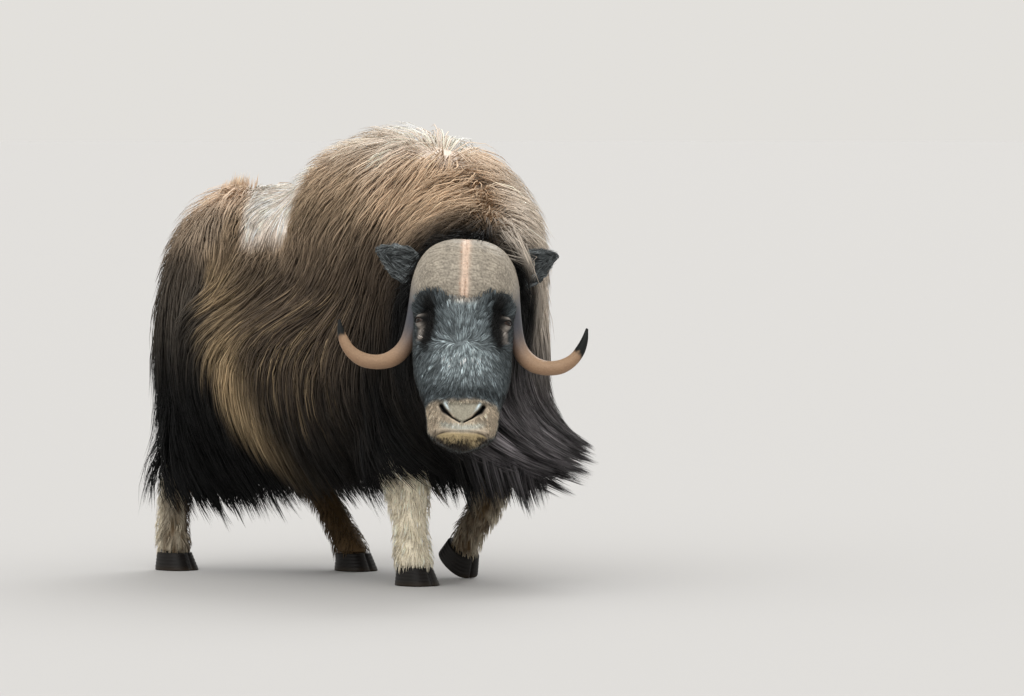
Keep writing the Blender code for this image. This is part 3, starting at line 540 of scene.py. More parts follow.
def leg_grid(name, inset):
    """A leg that starts inside the trunk. The bent one leans with its foot, whose heel is lifted."""
    (x, y, _), *top_sizes = LEGS[name][0]
    rows = (((x, y, LEG_ROOT), *top_sizes), *LEGS[name])
    leans = BENT_LEANS if name == BENT_LEG else (0,) * len(rows)
    table = [(*row, lean) for row, lean in zip(numbered(rows), leans)]
    cx, cy, cz, long, wide, lean = spline(table, np.linspace(0, len(rows) - 1, LEG_MESH[0]))
    turn = turns(LEG_MESH[1])
    along = np.cos(turn)[None, :] * (long - inset)[:, None]
    side = np.sin(turn)[None, :] * (wide - inset)[:, None]
    angle = (TOE_TILT * lean)[:, None]
    x = cx[:, None] + along * np.cos(angle)
    z = cz[:, None] - along * np.sin(angle)
    return np.stack([x, cy[:, None] + side, z], -1)


def head_surface(level, turn):
    """Points of the head in its own frame. turn 0 is the front, a quarter is the left."""
    half_width, front, back, power = spline(HEAD_PROFILE, level)
    middle = np.minimum(front - 0.02, 0.02)
    sine = np.sin(turn)
    cosine = np.cos(turn)
    across = half_width * np.sign(sine) * np.abs(sine) ** power
    reach = np.where(cosine > 0, front - middle, middle - back)
    forward = middle + reach * np.sign(cosine) * np.abs(cosine) ** power
    side = np.abs(across)
    ahead = smoothstep(-0.4, -0.2, cosine)

    def form(middle_level, tall, place, deep, starts, whole):
        lump = bell(level - middle_level, tall) * bell(forward - place, deep)
        return lump * smoothstep(starts, whole, side) * ahead

    socket, brow, tear = (form(*row) for row in (SOCKET_FORM, BROW_FORM, TEAR_FORM))
    across = across - np.sign(across) * (0.020 * socket - 0.010 * brow + 0.008 * tear)
    forward = forward - 0.012 * socket
    bridge = bell(level + 0.115, 0.065) * bell(side, 0.070)
    nose = bell(level + 0.282, 0.030) * bell(side - 0.040, 0.040)
    forward = forward + np.where(cosine > 0, -0.004 * bridge + 0.007 * nose, 0)
    return np.stack([forward, across, np.broadcast_to(level, forward.shape)], -1)


def steps_of(spans):
    """Places along a row of spans, each with its own step."""
    made = []
    for start, end, step in spans:
        made.append(np.linspace(start, end, max(2, round(abs(end - start) / step)), endpoint=False))
    return np.append(np.concatenate(made), spans[-1][1])


def grid_normals(grid):
    down = np.gradient(grid, axis=0)
    around = np.roll(grid, -1, axis=1) - np.roll(grid, 1, axis=1)
    normals = unit(np.cross(around, down))
    heart = grid.mean(axis=1, keepdims=True)
    return normals * np.sign(dot(normals, grid - heart).mean())


def eye_frame(side):
    """Middle of the eye on a side, the way it looks, along its slit towards the nose, and up."""
    mirror = np.array((1, side, 1))
    out = unit(EYE_OUT * mirror)
    along = unit(np.cross(out, (0, 0, 1.0)))
    return EYE_PLACE * mirror, out, along * side, np.cross(along, out)


def eye_spot(points, side):
    """Places from an eye's middle: along its slit towards the nose, up, out, and how far off its axis."""
    centre, out, along, up = eye_frame(side)
    off = points - centre
    s = dot(off, along)
    t = dot(off, up)
    return s, t, dot(off, out), np.hypot(s, t)


def lid_slit(s, t):
    """Above 0 between the lids: an almond, a little lower at the corner near the nose."""
    half_length, over, under = SLIT
    bow = 1 - (s / half_length) ** 2
    middle = -0.0008 - 0.10 * s
    return np.where(t > middle, over * bow - (t - middle), under * bow + (t - middle))


def set_lids(points, side):
    """Raises the skin over the eyeball as two lids, opens the slit between them and folds the skin."""
    s, t, height, far = eye_spot(points, side)
    near = (height > -0.01) & (far < 0.050)
    ball = np.sqrt(np.maximum((EYE_RADIUS + LID) ** 2 - far**2, 0))
    soft = 0.006
    blend = np.clip(0.5 + 0.5 * (ball - height) / soft, 0, 1)
    raised = height * (1 - blend) + ball * blend + soft * blend * (1 - blend)
    slit = lid_slit(s, t)
    open_share = smoothstep(-0.0002, 0.0016, slit)
    within = np.sqrt(np.maximum(EYE_RADIUS**2 - far**2, 0)) - 0.006
    rim = bell(slit + 0.0012, 0.0013) * 0.0011
    crease = sum(bell(slit + gap, 0.0016) * deep for gap, deep in LID_FOLDS)
    raised = raised + (rim - crease) * smoothstep(0.034, 0.024, far)
    raised = raised * (1 - open_share) + within * open_share
    _, out, _, _ = eye_frame(side)
    share = np.where(near, smoothstep(0.046, 0.030, far), 0)
    return points + out * ((raised - height) * share)[..., None]


def nostril_place(points):
    """Distance to the nearer nostril's middle line, its half width there and its depth."""
    side = np.abs(points[..., 1])
    level = points[..., 2]
    best = np.full(side.shape, 9.0)
    width = np.full(side.shape, NOSTRIL[0][2])
    depth = np.zeros(side.shape)
    for a, b, start_deep, end_deep in zip(NOSTRIL, NOSTRIL[1:], NOSTRIL_DEPTH, NOSTRIL_DEPTH[1:]):
        run = np.array((b[0] - a[0], b[1] - a[1]))
        share = np.clip(((side - a[0]) * run[0] + (level - a[1]) * run[1]) / (run @ run), 0, 1)
        away = np.hypot(side - a[0] - share * run[0], level - a[1] - share * run[1])
        nearer = away < best
        best = np.where(nearer, away, best)
        width = np.where(nearer, a[2] + (b[2] - a[2]) * share, width)
        depth = np.where(nearer, start_deep + (end_deep - start_deep) * share, depth)
    return best, width, depth


def mouth_gap(points):
    """How far above the line of the mouth a point lies."""
    return points[..., 2] - (MOUTH_LEVEL + 0.25 * points[..., 1] ** 2)


def set_muzzle(points, normals, turn):
    """Nostrils with raised rims, the line of the mouth, lips, the cleft of the upper lip and fine pores."""
    ahead = smoothstep(0.0, 0.35, np.cos(turn))
    away, width, depth = nostril_place(points)
    hole = bell(away, width * 0.62) * depth
    rim = bell(away - width * 1.55, width * 0.55) * 0.0026
    above = mouth_gap(points)
    side = np.abs(points[..., 1])
    fade = smoothstep(-0.15, 0.30, np.cos(turn))
    line = bell(above, 0.0024) * 0.0085 * fade
    upper = bell(above - 0.011, 0.0085) * 0.0030 * fade
    lower = bell(above + 0.010, 0.0080) * 0.0018 * fade
    cleft = bell(side, 0.0022) * smoothstep(0.0, 0.004, above) * smoothstep(0.028, 0.022, above) * 0.0032
    pores = 0.0004 * np.sin(points[..., 1] * 1700) * np.sin(points[..., 2] * 1900) * bell(side, 0.03)
    lift = (rim - hole * 0.25) * ahead + upper + lower - line - cleft * ahead + pores * ahead
    points = points + normals * lift[..., None]
    points[..., 0] -= hole * ahead
    return points


def head_grid():
    levels = steps_of(HEAD_LEVELS)[:, None]
    half = steps_of(HEAD_TURNS)
    turn = np.concatenate([half[:-1], -half[:0:-1]])[None, :]
    grid = head_surface(*np.broadcast_arrays(levels, turn))
    normals = grid_normals(grid)
    furred = smoothstep(-0.270, -0.235, grid[..., 2:3])
    grid = grid - normals * (BARE_SKIN + (FACE_FUR - BARE_SKIN) * furred)
    grid = set_muzzle(grid, normals, turn)
    for side in (1, -1):
        grid = set_lids(grid, side)
    grid[..., 1] += nose_set(grid[..., 2])
    return grid


def ear_grid(side):
    """A leaf rolled to a cup that opens forward, each section with an outer and an inner arc."""
    a, b, c, half_width, cup = spline(numbered(EAR_RINGS), np.linspace(0, len(EAR_RINGS) - 1, EAR_MESH[0]))
    centres = np.stack([a, b * side, c], -1)
    heading = unit(np.gradient(centres, axis=0))
    face = unit(np.array((1.0, 0.25 * side, -0.35)))
    front = unit(face - heading * dot(heading, face)[:, None])
    wide = np.cross(heading, front)
    share = np.linspace(-1, 1, EAR_MESH[1])
    bow = 1 - share**2
    wall = EAR_WALL * np.clip(half_width / 0.03, 0.1, 1) * 0.55
    spread = wide[:, None] * (share[None] * (half_width - 0.003)[:, None])[..., None]
    swell = (cup + wall)[:, None] * bow[None] * 0.75
    outer = centres[:, None] + spread - front[:, None] * swell[..., None]
    hollow = (cup[:, None] * bow[None] * 0.75 - cup[:, None] * 0.12) * (np.abs(share) < 0.99)
    inner = centres[:, None] + spread * 0.86 - front[:, None] * (hollow - 0.001)[..., None]
    return np.concatenate([outer, inner[:, ::-1][:, 1:-1]], axis=1)


# Where a point lies on the animal

TRUNK, FACE, EAR, LEG = range(4)


def ear_distance(local):
    """How far a point in the head's frame lies from the nearer ear's middle line."""
    rows = np.array([row[0] for row in EAR_RINGS])
    mirrored = local.copy()
    mirrored[:, 1] = np.abs(local[:, 1])
    best = np.full(len(local), 9.0)
    for a, b in zip(rows, rows[1:]):
        share = np.clip(((mirrored - a) @ (b - a)) / ((b - a) @ (b - a)), 0, 1)
        best = np.minimum(best, np.linalg.norm(mirrored - a - share[:, None] * (b - a), axis=1))
    return best


def region_of(points):
    """Which part of the animal each point belongs to."""
    local = to_head(points)
    half_width, front, back, _ = spline(HEAD_PROFILE, local[:, 2])
    middle = np.minimum(front - 0.02, 0.02)
    reach = np.where(local[:, 0] > middle, front - middle, middle - back)
    round_it = np.hypot(local[:, 1] / half_width, (local[:, 0] - middle) / reach)
    made = np.full(len(points), TRUNK)
    made[(round_it < 1.22) & (np.abs(local[:, 2] + 0.075) < 0.33)] = FACE
    made[(ear_distance(local) < 0.062) & (np.abs(local[:, 1]) > 0.145) & (local[:, 2] > 0.13)] = EAR
    made[points[:, 2] < LEG_TOP] = LEG
    return made


def lie(points):
    """Which way the long hair runs: down and a little back, more at the part, and to the left below."""
    x, y, z = points.T
    crest = smoothstep(0.95, 1.30, z)
    part = bell(z - 0.84, 0.10) * smoothstep(0.26, 0.02, x) * smoothstep(-0.62, -0.45, x)
    above = bell(z - 1.05, 0.09) * smoothstep(0.12, -0.08, x) * smoothstep(-0.66, -0.50, x)
    rump = smoothstep(-0.36, -0.52, x)
    rear = smoothstep(-0.60, -0.76, x)
    low = (1 - smoothstep(0.25, 0.78, z)) * (1 - 0.9 * rear)
    throat = smoothstep(0.34, 0.58, x - 0.25 * y)
    shoulder = smoothstep(-0.10, 0.25, x)
    slope = bell(x + 0.15, 0.12) * crest
    back = 0.14 + 0.20 * crest - 0.26 * slope - 0.42 * rump + 1.8 * part - 0.45 * above
    way = np.zeros_like(points)
    way[:, 2] = -1
    way[:, 0] -= back * smoothstep(0.58, 0.80, z)
    way[:, 0] -= rear * (0.20 * bell(z - 0.62, 0.14) - 0.65 * smoothstep(0.52, 0.36, z))
    way += WIND * (low * (0.75 + 0.55 * shoulder) + low**1.5 * 2.2 * throat)[:, None]
    return unit(way)


def peak_lie(points):
    """The tuft on the rump's ridge, which stands up."""
    return unit(np.broadcast_to((0.22, 0.12, 1.0), points.shape))


def hang(points):
    """The brisket's hair, which hangs under the beard."""
    way = np.zeros_like(points)
    way[:, 2] = -1
    return unit(way + WIND * 0.28)


def face_lie(points):
    """The face's hair: a whorl between and below the eyes, up and out above it, down and out below it."""
    a, b, c = to_head(points).T
    rise = np.tanh((c - WHORL_LEVEL + 0.014 * grain(points, 0.03)) / 0.022)
    apart = (0.45 + 0.3 * bell(c, 0.05)) * (1 - 0.7 * smoothstep(0.0, 0.045, c))
    flat = np.stack([-0.35 - 1.2 * smoothstep(0.10, 0.0, a), np.tanh(b / 0.06) * apart, rise], -1)
    return unit(flat @ HEAD_TURN.T)


def ear_lie(points):
    """Out along the ear and up."""
    local = to_head(points)
    side = np.sign(local[:, 1])
    flat = np.stack([np.full(len(points), -0.1), side, np.full(len(points), 0.45)], -1)
    return unit(flat @ HEAD_TURN.T)


def leg_lie(points):
    """Down and a little back."""
    way = np.zeros_like(points)
    way[:, 2] = -1
    way[:, 0] = -0.12
    return way


# Markings

# Height, and the colour of the flank at it.
FLANK_TONES = (
    (0.20, "black"), (0.36, "sable"), (0.52, "bark"), (0.72, "umber"), (0.90, "umber"),
    (1.00, "fawn"), (1.12, "tan"), (1.24, "sand"), (1.36, "cream"),
)
# Height, and the x that the dark hindquarters reach forward to.
REAR_EDGE = ((0.20, -0.16), (0.27, -0.21), (0.39, -0.33), (0.55, -0.416), (0.85, -0.47), (1.05, -0.52))


def saddle_share(points):
    """1 on the saddle: a wedge between the rump's ridge and the hump that narrows down the sides."""
    x, y, z = points.T
    side = np.abs(y)
    behind = smoothstep(-0.025, 0.025, x + 0.625 - 0.97 * side)
    hump_edge = x + 0.25 - 0.40 * np.minimum(side, 0.22) + 1.2 * np.maximum(side - 0.24, 0)
    return behind * smoothstep(0.02, -0.04, hump_edge) * smoothstep(0.98, 1.05, z)


def flank_tone(x, z, blot, fine, palette):
    """The flank by its height, with bleached streaks, over the dark hindquarters."""
    keys = [row[0] for row in FLANK_TONES]
    tones = np.array([palette[row[1]] for row in FLANK_TONES])
    made = np.stack([np.interp(z, keys, tones[:, k]) for k in range(3)], -1)
    (edge,) = spline(REAR_EDGE, z)
    ahead = smoothstep(-0.03, 0.03, x - edge + 0.02 * blot)
    band = ahead * bell(x - edge - 0.05, 0.085) * smoothstep(0.29, 0.44, z) * smoothstep(1.02, 0.88, z)
    streak = smoothstep(-0.3, 0.4, fine)
    made = mix(made, palette["gold"], band * (0.60 + 0.40 * streak))
    middle = smoothstep(0.42, 0.10, x) * ahead * smoothstep(0.42, 0.66, z) * smoothstep(0.98, 0.84, z)
    made = mix(made, palette["gold"], middle * smoothstep(0.1, 0.6, fine) * 0.7)
    cool_umber = palette["umber"] * (1.0, 1.12, 1.25)
    rear = mix(palette["black"] * 0.6, cool_umber, smoothstep(0.55, 0.92, z + 0.10 * fine))
    made = mix(rear, made, np.maximum(ahead, smoothstep(0.91, 1.02, z)))
    # A brown patch on the side of the hump, and painted shade along the part below it, where the long hair
    # starts.
    brown = bell(x - 0.02, 0.13) * bell(z - 1.06, 0.09) + 0.8 * bell(z - 0.915, 0.035) * (x < 0.2)
    made = mix(made, palette["umber"] * 1.15, np.clip(brown, 0, 1) * 0.50)
    sunlit = 0.6 * bell(x - 0.15 - 0.5 * (z - 1.1), 0.07)
    light = sunlit * smoothstep(0.98, 1.10, z) * smoothstep(1.30, 1.15, z)
    made = mix(made, palette["sand"], light * (0.15 + 0.3 * fine))
    dusk = smoothstep(0.05, 0.20, x) * smoothstep(1.12, 0.98, z) * (x < 0.40)
    return mix(made, palette["umber"] * (1 + 0.5 * fine)[:, None], dusk * 0.8)


def back_tone(made, x, y, z, blot, fine, palette):
    """The pale saddle, the hump's bright crest and the rump over the colours so far."""
    side = np.abs(y)
    wedge = saddle_share(np.stack([x + 0.02 * blot, y, z], -1))
    made = mix(made, palette["cream"] * (1.22, 1.24, 1.30), wedge)
    bright = smoothstep(-0.05, 0.06, x - 0.68 * side + 0.03 * blot) * smoothstep(1.00, 1.12, z + 0.03 * fine)
    warm = smoothstep(0.30, 0.55, x + side)
    crest = palette["cream"] * mix(np.array((1.30, 1.28, 1.30)), np.array((0.84, 0.70, 0.56)), warm)
    made = mix(made, crest, bright * 0.95)
    rump = smoothstep(-0.40, -0.50, x) * (1 - wedge)
    made = mix(made, palette["tan"] * (0.98, 1.05, 1.22), rump * smoothstep(0.96, 1.04, z) * 0.8)
    return mix(made, palette["sand"] * (1.30, 1.34, 1.44), rump * smoothstep(1.06, 1.15, z))


def front_tone(made, points, z, blot, fine, palette):
    """The dark ring behind the head, the throat, the beard's pale streaks in the lee of the wind, and
    painted rim light.
    """
    x = points[:, 0]
    local = to_head(points)
    heart = (local - np.array((-0.03, -0.012, 0.0))) * (0.35, 1, 1)
    heart[:, 2] -= np.clip(heart[:, 2], -0.30, 0.10)
    near_head = np.linalg.norm(heart, axis=1) + 0.02 * blot
    beside = smoothstep(0.08, 0.13, np.abs(local[:, 1]))
    collar = smoothstep(0.270, 0.215, near_head) * smoothstep(0.22, 0.14, local[:, 2]) * beside
    collar = np.maximum(collar, smoothstep(0.235, 0.195, near_head))
    made = mix(made, palette["umber"] * 0.75, smoothstep(0.33, 0.24, near_head) * 0.9)
    throat = smoothstep(0.02, 0.26, x - 0.35 * (z - 0.6)) * smoothstep(0.90, 0.66, z)
    share = np.clip(0.15 + 0.6 * fine + 0.6 * smoothstep(0.5, 0.75, z), 0, 1) * smoothstep(0.32, 0.52, z)
    darkest = palette["black"] * (0.4 + 0.6 * smoothstep(0.25, 0.40, z))[:, None]
    made = mix(made, mix(darkest, palette["bark"] * 1.2, share), throat)
    lee = dot(points - np.array((0.42, -0.11, 0)), WIND)
    ash = smoothstep(0.02, 0.12, lee) * smoothstep(0.30, 0.40, x) * smoothstep(0.84, 0.60, z)
    ash = ash * smoothstep(0.30, 0.37, z) * (1 - 0.6 * smoothstep(0.18, 0.32, lee))
    made = mix(made, palette["ash"], ash * np.clip(0.45 + 0.9 * fine, 0, 1))
    # Painted rim light: pale on the neck's hair far downwind, the edge that the light from behind catches.
    rim = smoothstep(0.10, 0.20, lee) * smoothstep(0.28, 0.42, x)
    made = mix(made, palette["cream"] * 0.9, rim * smoothstep(0.58, 0.80, z) * 0.9)
    return mix(made, palette["black"], collar * smoothstep(0.50, 0.70, z))


def leg_tone(x, y, fine, palette):
    """Pale wool, mottled, with painted shade inside and on the legs in the body's shadow."""
    # Painted shade: inner is the inner side of each leg, and dusk how far each leg lies in the body's
    # shadow: most the hind left, then the hind right towards its back, then the front left; none on the
    # front right.
    inner = smoothstep(0.02, -0.03, np.abs(y) - np.where(x > 0, 0.165, 0.175))
    behind = smoothstep(-0.80, -0.74, x)
    dusk = np.where(x > 0, np.where(y > 0, 0.36, 0.0), np.where(y > 0, 1.0, 0.2 + 0.6 * behind))
    shade = np.clip(dusk + 0.4 * fine + 0.5 * inner * (dusk > 0), 0, 1)
    return mix(palette["leg"], palette["leg_shade"], shade)


def tone_of(points, region, palette):
    """The colour of skin and coat at a place, from the animal's markings."""
    x, y, z = points.T
    blot = grain(points, 0.11, 2)
    fine = grain(points * (1, 1, 0.3), 0.020)
    z = z + 0.030 * blot
    made = flank_tone(x, z, blot, fine, palette)
    made = back_tone(made, x, y, z, blot, fine, palette)
    made = front_tone(made, points, z, blot, fine, palette)
    legs = region == LEG
    made[legs] = leg_tone(x, y, fine, palette)[legs]
    faces = region == FACE
    if faces.any():
        made[faces] = face_tone(to_head(points)[faces], palette)
    ear = mix(palette["slate"], palette["bark"], 0.5) * (1.8 + 1.3 * fine)[:, None]
    made[region == EAR] = ear[region == EAR]
    return made * (1 + 0.10 * blot)[:, None]


def face_tone(local, palette):
    """The face in its own frame: silver in the middle, black round the eyes with painted shadow in their
    hollows, a pale muzzle and lips, and painted shade in and round the nostrils, in the mouth and under the
    chin.
    """
    a, b, c = local.T
    side = np.abs(b)
    fine = grain(local * (1, 1.6, 0.5), 0.012)
    blot = grain(local, 0.05, 2)
    made = np.broadcast_to(palette["slate"], local.shape).copy()
    silver = bell(side, 0.095) * bell(c + 0.130, 0.085) + 0.60 * bell(side, 0.050) * bell(c - 0.030, 0.045)
    made = mix(made, palette["silver"], np.clip(silver * (1 + 0.5 * fine), 0, 1))
    made = mix(made, palette["slate"] * 0.45, bell(c + 0.232, 0.020) * 0.7)
    made = mix(made, palette["black"] * 2, smoothstep(0.080, 0.02, a) * smoothstep(0.09, 0.13, side) * 0.7)
    # Black fur, with painted shadow in the hollow in front of each eye.
    hollow = bell(side - 0.108 - 0.10 * np.clip(-c - 0.04, 0, 1), 0.024) * bell(c + 0.012, 0.082)
    made = mix(made, palette["black"] * 0.5, np.clip(hollow * 2.0, 0, 1))
    made = mix(made, palette["black"] * 2, bell(side - 0.115, 0.045) * bell(c - 0.062, 0.022) * 0.8)
    for sign in (1, -1):
        s, t, height, far = eye_spot(local, sign)
        bare = bell(s - 0.002, 0.011) * smoothstep(0.034, 0.020, np.abs(t + 0.034)) * (height > -0.02)
        bare = np.maximum(bare, bell(s, 0.013) * bell(t - 0.0155, 0.0065) * (height > 0))
        made = mix(made, palette["eye_skin"], np.clip(bare * 1.15, 0, 1))
        lashes = smoothstep(-0.0022, -0.0002, lid_slit(s, t)) * (height > 0) * (far < 0.03)
        made = mix(made, palette["black"] * 0.5, lashes)
    pale = bell(side, 0.030) * smoothstep(0.040, 0.054, c) * (a > 0.05)
    made = mix(made, palette["cream"] * 0.8, pale * 0.8)
    ahead = smoothstep(0.02, 0.06, a)
    muzzle = smoothstep(-0.252, -0.272, c + 0.010 * blot + 0.10 * np.maximum(side - 0.04, 0)) * ahead
    made = mix(made, palette["muzzle"] * (1 + 0.25 * fine)[:, None], muzzle)
    away, width, _ = nostril_place(local)
    # Painted shade round the outer wing of each nostril.
    nostril_wing_shade = bell(away, 0.014) * bell(side - 0.058, 0.022) * bell(c + 0.292, 0.024)
    made = mix(made, palette["bark"], np.clip(nostril_wing_shade * 1.3, 0, 1) * ahead)
    pad_width, pad_level, pad_spread, pad_top = NOSE_PAD
    beyond_pad = side - pad_width - (c - pad_level) * pad_spread
    pad = smoothstep(0.003, -0.003, beyond_pad) * smoothstep(pad_top - 0.001, pad_top - 0.009, c)
    made = mix(made, palette["nose"] * (1 + 0.3 * fine)[:, None], pad * smoothstep(0.05, 0.09, a))
    shine = pad * bell(away - width * 1.7, 0.0035) * bell(side - 0.054, 0.012)
    made = mix(made, palette["silver"] * 1.6, np.clip(shine * 1.5, 0, 1) * ahead)
    above = mouth_gap(local)
    lip = bell(above - 0.0095 - 2.2 * side**2, 0.0066) * ahead * smoothstep(0.078, 0.052, side)
    made = mix(made, palette["lip"], lip * (0.90 + 0.10 * fine))
    chin = smoothstep(-0.001, -0.005, above) * smoothstep(0.01, 0.04, a)
    # Painted shadow along the chin's lower edge, more at its sides.
    chin_edge_shade = smoothstep(-0.015, -0.027, above + 0.010 * blot - 0.45 * np.maximum(side - 0.042, 0))
    made = mix(made, mix(palette["chin"] * (1 + 0.2 * fine)[:, None], palette["bark"] * 0.7, chin_edge_shade), chin)
    made = mix(made, palette["bark"] * 0.5, smoothstep(-0.20, -0.28, c) * smoothstep(0.04, 0.00, a))
    # Painted shade in the line of the mouth.
    made = mix(made, palette["bark"] * 0.4, bell(above, 0.0018) * ahead * smoothstep(0.09, 0.07, side) * 0.9)
    # Painted shade in the cleft of the upper lip.
    cleft = bell(side - 0.0030 - 0.10 * np.maximum(above - 0.006, 0), 0.0016) * bell(above - 0.010, 0.007)
    made = mix(made, palette["black"], cleft * ahead * 0.7)
    # Painted shade inside the nostrils.
    made = mix(made, palette["black"] * 0.3, smoothstep(1.05, 0.6, away / width) * ahead)
    return made


# Tufts

# Widths of the tufts of the ears and legs
EAR_TUFT = 0.0032
LEG_TUFT = 0.0035
# How strongly a tuft keeps the way that it already runs
STIFFNESS = 0.8
# How far every tuft stays above the floor
FLOOR_GAP = 0.004
# Places along a tuft, and the share of its width there
TUFT_TAPER = ((0, 0.2, 0.4, 0.6, 0.8), (0.6, 1.0, 1.0, 0.8, 0.5))
# The height of a tuft's ridge as a share of its width
TUFT_FLATNESS = 0.24
# The side of the patch of the baked map that a tuft takes up
TUFT_PATCH = 0.003


class Comb:
    """Lays tufts over the skin: takes roots from it, runs them along the lie and makes a mesh of them."""

    def __init__(self, palette):
        skin = bpy.data.objects["skin"]
        mesh = skin.data
        mesh.calc_loop_triangles()
        self.points = points_of(mesh)
        corners = np.empty(len(mesh.loop_triangles) * 3, np.int32)
        mesh.loop_triangles.foreach_get("vertices", corners)
        self.corners = corners.reshape(-1, 3)
        self.tree = BVHTree.FromPolygons(self.points.tolist(), self.corners.tolist())
        a, b, c = (self.points[self.corners[:, k]] for k in range(3))
        cross = np.cross(b - a, c - a)
        self.areas = np.linalg.norm(cross, axis=1) / 2
        self.normals = unit(cross)
        self.centres = (a + b + c) / 3
        self.regions = region_of(self.centres)
        self.palette = palette

    def roots(self, wanted, count, chance):
        """Random places on the faces that wanted gives a weight, as many as the count."""
        weights = self.areas * wanted
        chosen = chance.choice(len(weights), count, p=weights / weights.sum())
        u = np.sqrt(chance.random(count))[:, None]
        v = chance.random(count)[:, None]
        a, b, c = (self.points[self.corners[chosen, k]] for k in range(3))
        return a * (1 - u) + b * (u * (1 - v)) + c * (u * v), self.normals[chosen]

    def nearest(self, places):
        found = [self.tree.find_nearest(Vector(p)) for p in places]
        return np.array([f[0] for f in found]), np.array([f[1] for f in found])

    def run(self, roots, normals, length, rise, lift, how):
        """Points along each tuft, and the way its face looks at each. Above a level it keeps to the skin."""
        steps = how["sections"]
        hold = how["hold"]
        place = roots
        facing = normals
        path = [roots - normals * how["sink"]]
        out = [normals]
        heading = None
        step = (length / steps)[:, None]
        for k in range(1, steps + 1):
            way = how["lie_of"](place)
            into = dot(way, facing)
            kept = (into < 0) | (place[:, 2] > hold)
            way = unit(np.where(kept[:, None], way - facing * into[:, None], way))
            heading = way if heading is None else unit(heading * STIFFNESS + way)
            place = place + heading * step
            near, facing = self.nearest(place)
            above = dot(place - near, facing)
            risen = math.sin(0.5 * math.pi * min(1.0, 0.15 + 0.95 * k / steps))
            target = rise * risen + lift * (k / steps) ** 2
            low = (above < target) | (place[:, 2] > hold)
            place = np.where(low[:, None], near + facing * target[:, None], place)
            path.append(place)
            out.append(unit(out[-1] + facing))
        return np.stack(path, 1), np.stack(out, 1)

    def gather(self, path, every, pull, chance):
        """Draws the tufts towards the nearest of a few leaders, more towards their tips."""
        roots = path[:, 1]
        leaders = np.arange(0, len(path), every)
        tree = KDTree(len(leaders))
        for index in leaders:
            tree.insert(Vector(roots[index]), int(index))
        tree.balance()
        chosen = np.array([tree.find(Vector(p))[1] for p in roots])
        share = (np.linspace(0, 1, path.shape[1]) ** 1.4)[None, :, None]
        strength = (pull * chance.uniform(0.55, 1.0, len(path)))[:, None, None]
        return path + (path[chosen] - path) * (share * strength), chosen

    def wave(self, path, out, size, reach):
        """Sways each tuft sideways in long soft waves, shared by its neighbours."""
        heading = unit(np.gradient(path, axis=1))
        across = np.cross(heading, out)
        count, rings, _ = path.shape
        share = np.linspace(0, 1, rings)
        bend = np.zeros((count, rings))
        phase = grain(path[:, 0], reach) * math.pi * 2
        for k in range(rings):
            bend[:, k] = np.sin(phase + share[k] * 5.0) - np.sin(phase)
        return path + across * (bend * share * size)[..., None]

    def mesh(self, name, path, out, width, tones, chance, how):
        """Closed three-sided tufts along the paths, with colours and the map that bakes them."""
        count, rings, _ = path.shape
        path[..., 2] = np.maximum(path[..., 2], FLOOR_GAP)
        heading = unit(np.gradient(path, axis=1))
        level_across = unit(np.cross(heading, out))
        level_up = np.cross(level_across, heading)
        angle = chance.uniform(-how["twist"], how["twist"], count)[:, None, None]
        across = level_across * np.cos(angle) + level_up * np.sin(angle)
        thick = level_up * np.cos(angle) - level_across * np.sin(angle)
        sections = rings - 1
        spread = np.interp(np.arange(sections) / sections, *TUFT_TAPER)
        half = (width[:, None] * spread / 2)[..., None]
        centre = path[:, :sections]
        side = across[:, :sections] * half
        ridge = thick[:, :sections] * half * (2 * TUFT_FLATNESS)
        body = np.stack([centre + side, centre + ridge, centre - side], 2).reshape(count, sections * 3, 3)
        points = np.concatenate([body, path[:, -1:]], 1)
        each = sections * 3 + 1
        last = (sections - 1) * 3
        edges = [(i + j, i + (j + 1) % 3) for i in range(0, last, 3) for j in range(3)]
        quads = [(a, b, b + 3, a + 3) for a, b in edges]
        fans = [(last + j, last + (j + 1) % 3, each - 1) for j in range(3)] + [(2, 1, 0)]
        pattern = np.array([corner for face in quads + fans for corner in face])
        sizes = np.array([4] * len(quads) + [3] * len(fans))
        base = np.arange(count)[:, None]
        loops = (pattern[None] + base * each).ravel()
        starts = (np.concatenate([[0], np.cumsum(sizes)[:-1]])[None] + base * len(pattern)).ravel()
        thing = mesh_object(name, points.reshape(-1, 3), loops, starts)
        level = np.append(np.repeat(np.linspace(0, 1, rings)[:sections], 3), 1.0)
        # Painted shade: each tuft is darker towards its root, standing for the shadow deep in the coat.
        dark = how["root"] + (1 - how["root"]) * smoothstep(0.0, 0.55, level)
        early = np.clip(level * 2, 0, 1)[None, :, None]
        late = np.clip(level * 2 - 1, 0, 1)[None, :, None]
        root, middle, tip = (tone[:, None] for tone in tones)
        colours = (root + (middle - root) * early + (tip - middle) * late) * dark[None, :, None]
        colour_by(thing, np.clip(colours.reshape(-1, 3), 0, 1))
        place = how["unwrap"](path[:, 1])
        column = np.append(np.tile([-0.5, 0.0, 0.5], sections), 0.0)
        patch = np.stack([column, level - 0.5], -1) * TUFT_PATCH
        uv = (place[:, None] + patch[None]).reshape(-1, 2)
        layer = thing.data.uv_layers.new(name="OFBake")
        order = np.empty(len(thing.data.loops), np.int32)
        thing.data.loops.foreach_get("vertex_index", order)
        layer.data.foreach_set("uv", uv[order].astype(np.float32).ravel())
        return thing


def spread_to(low, high, value):
    """A place on the baked map, from 0 to 1 with a narrow edge left free."""
    return 0.01 + 0.98 * np.clip((value - low) / (high - low), 0, 1)


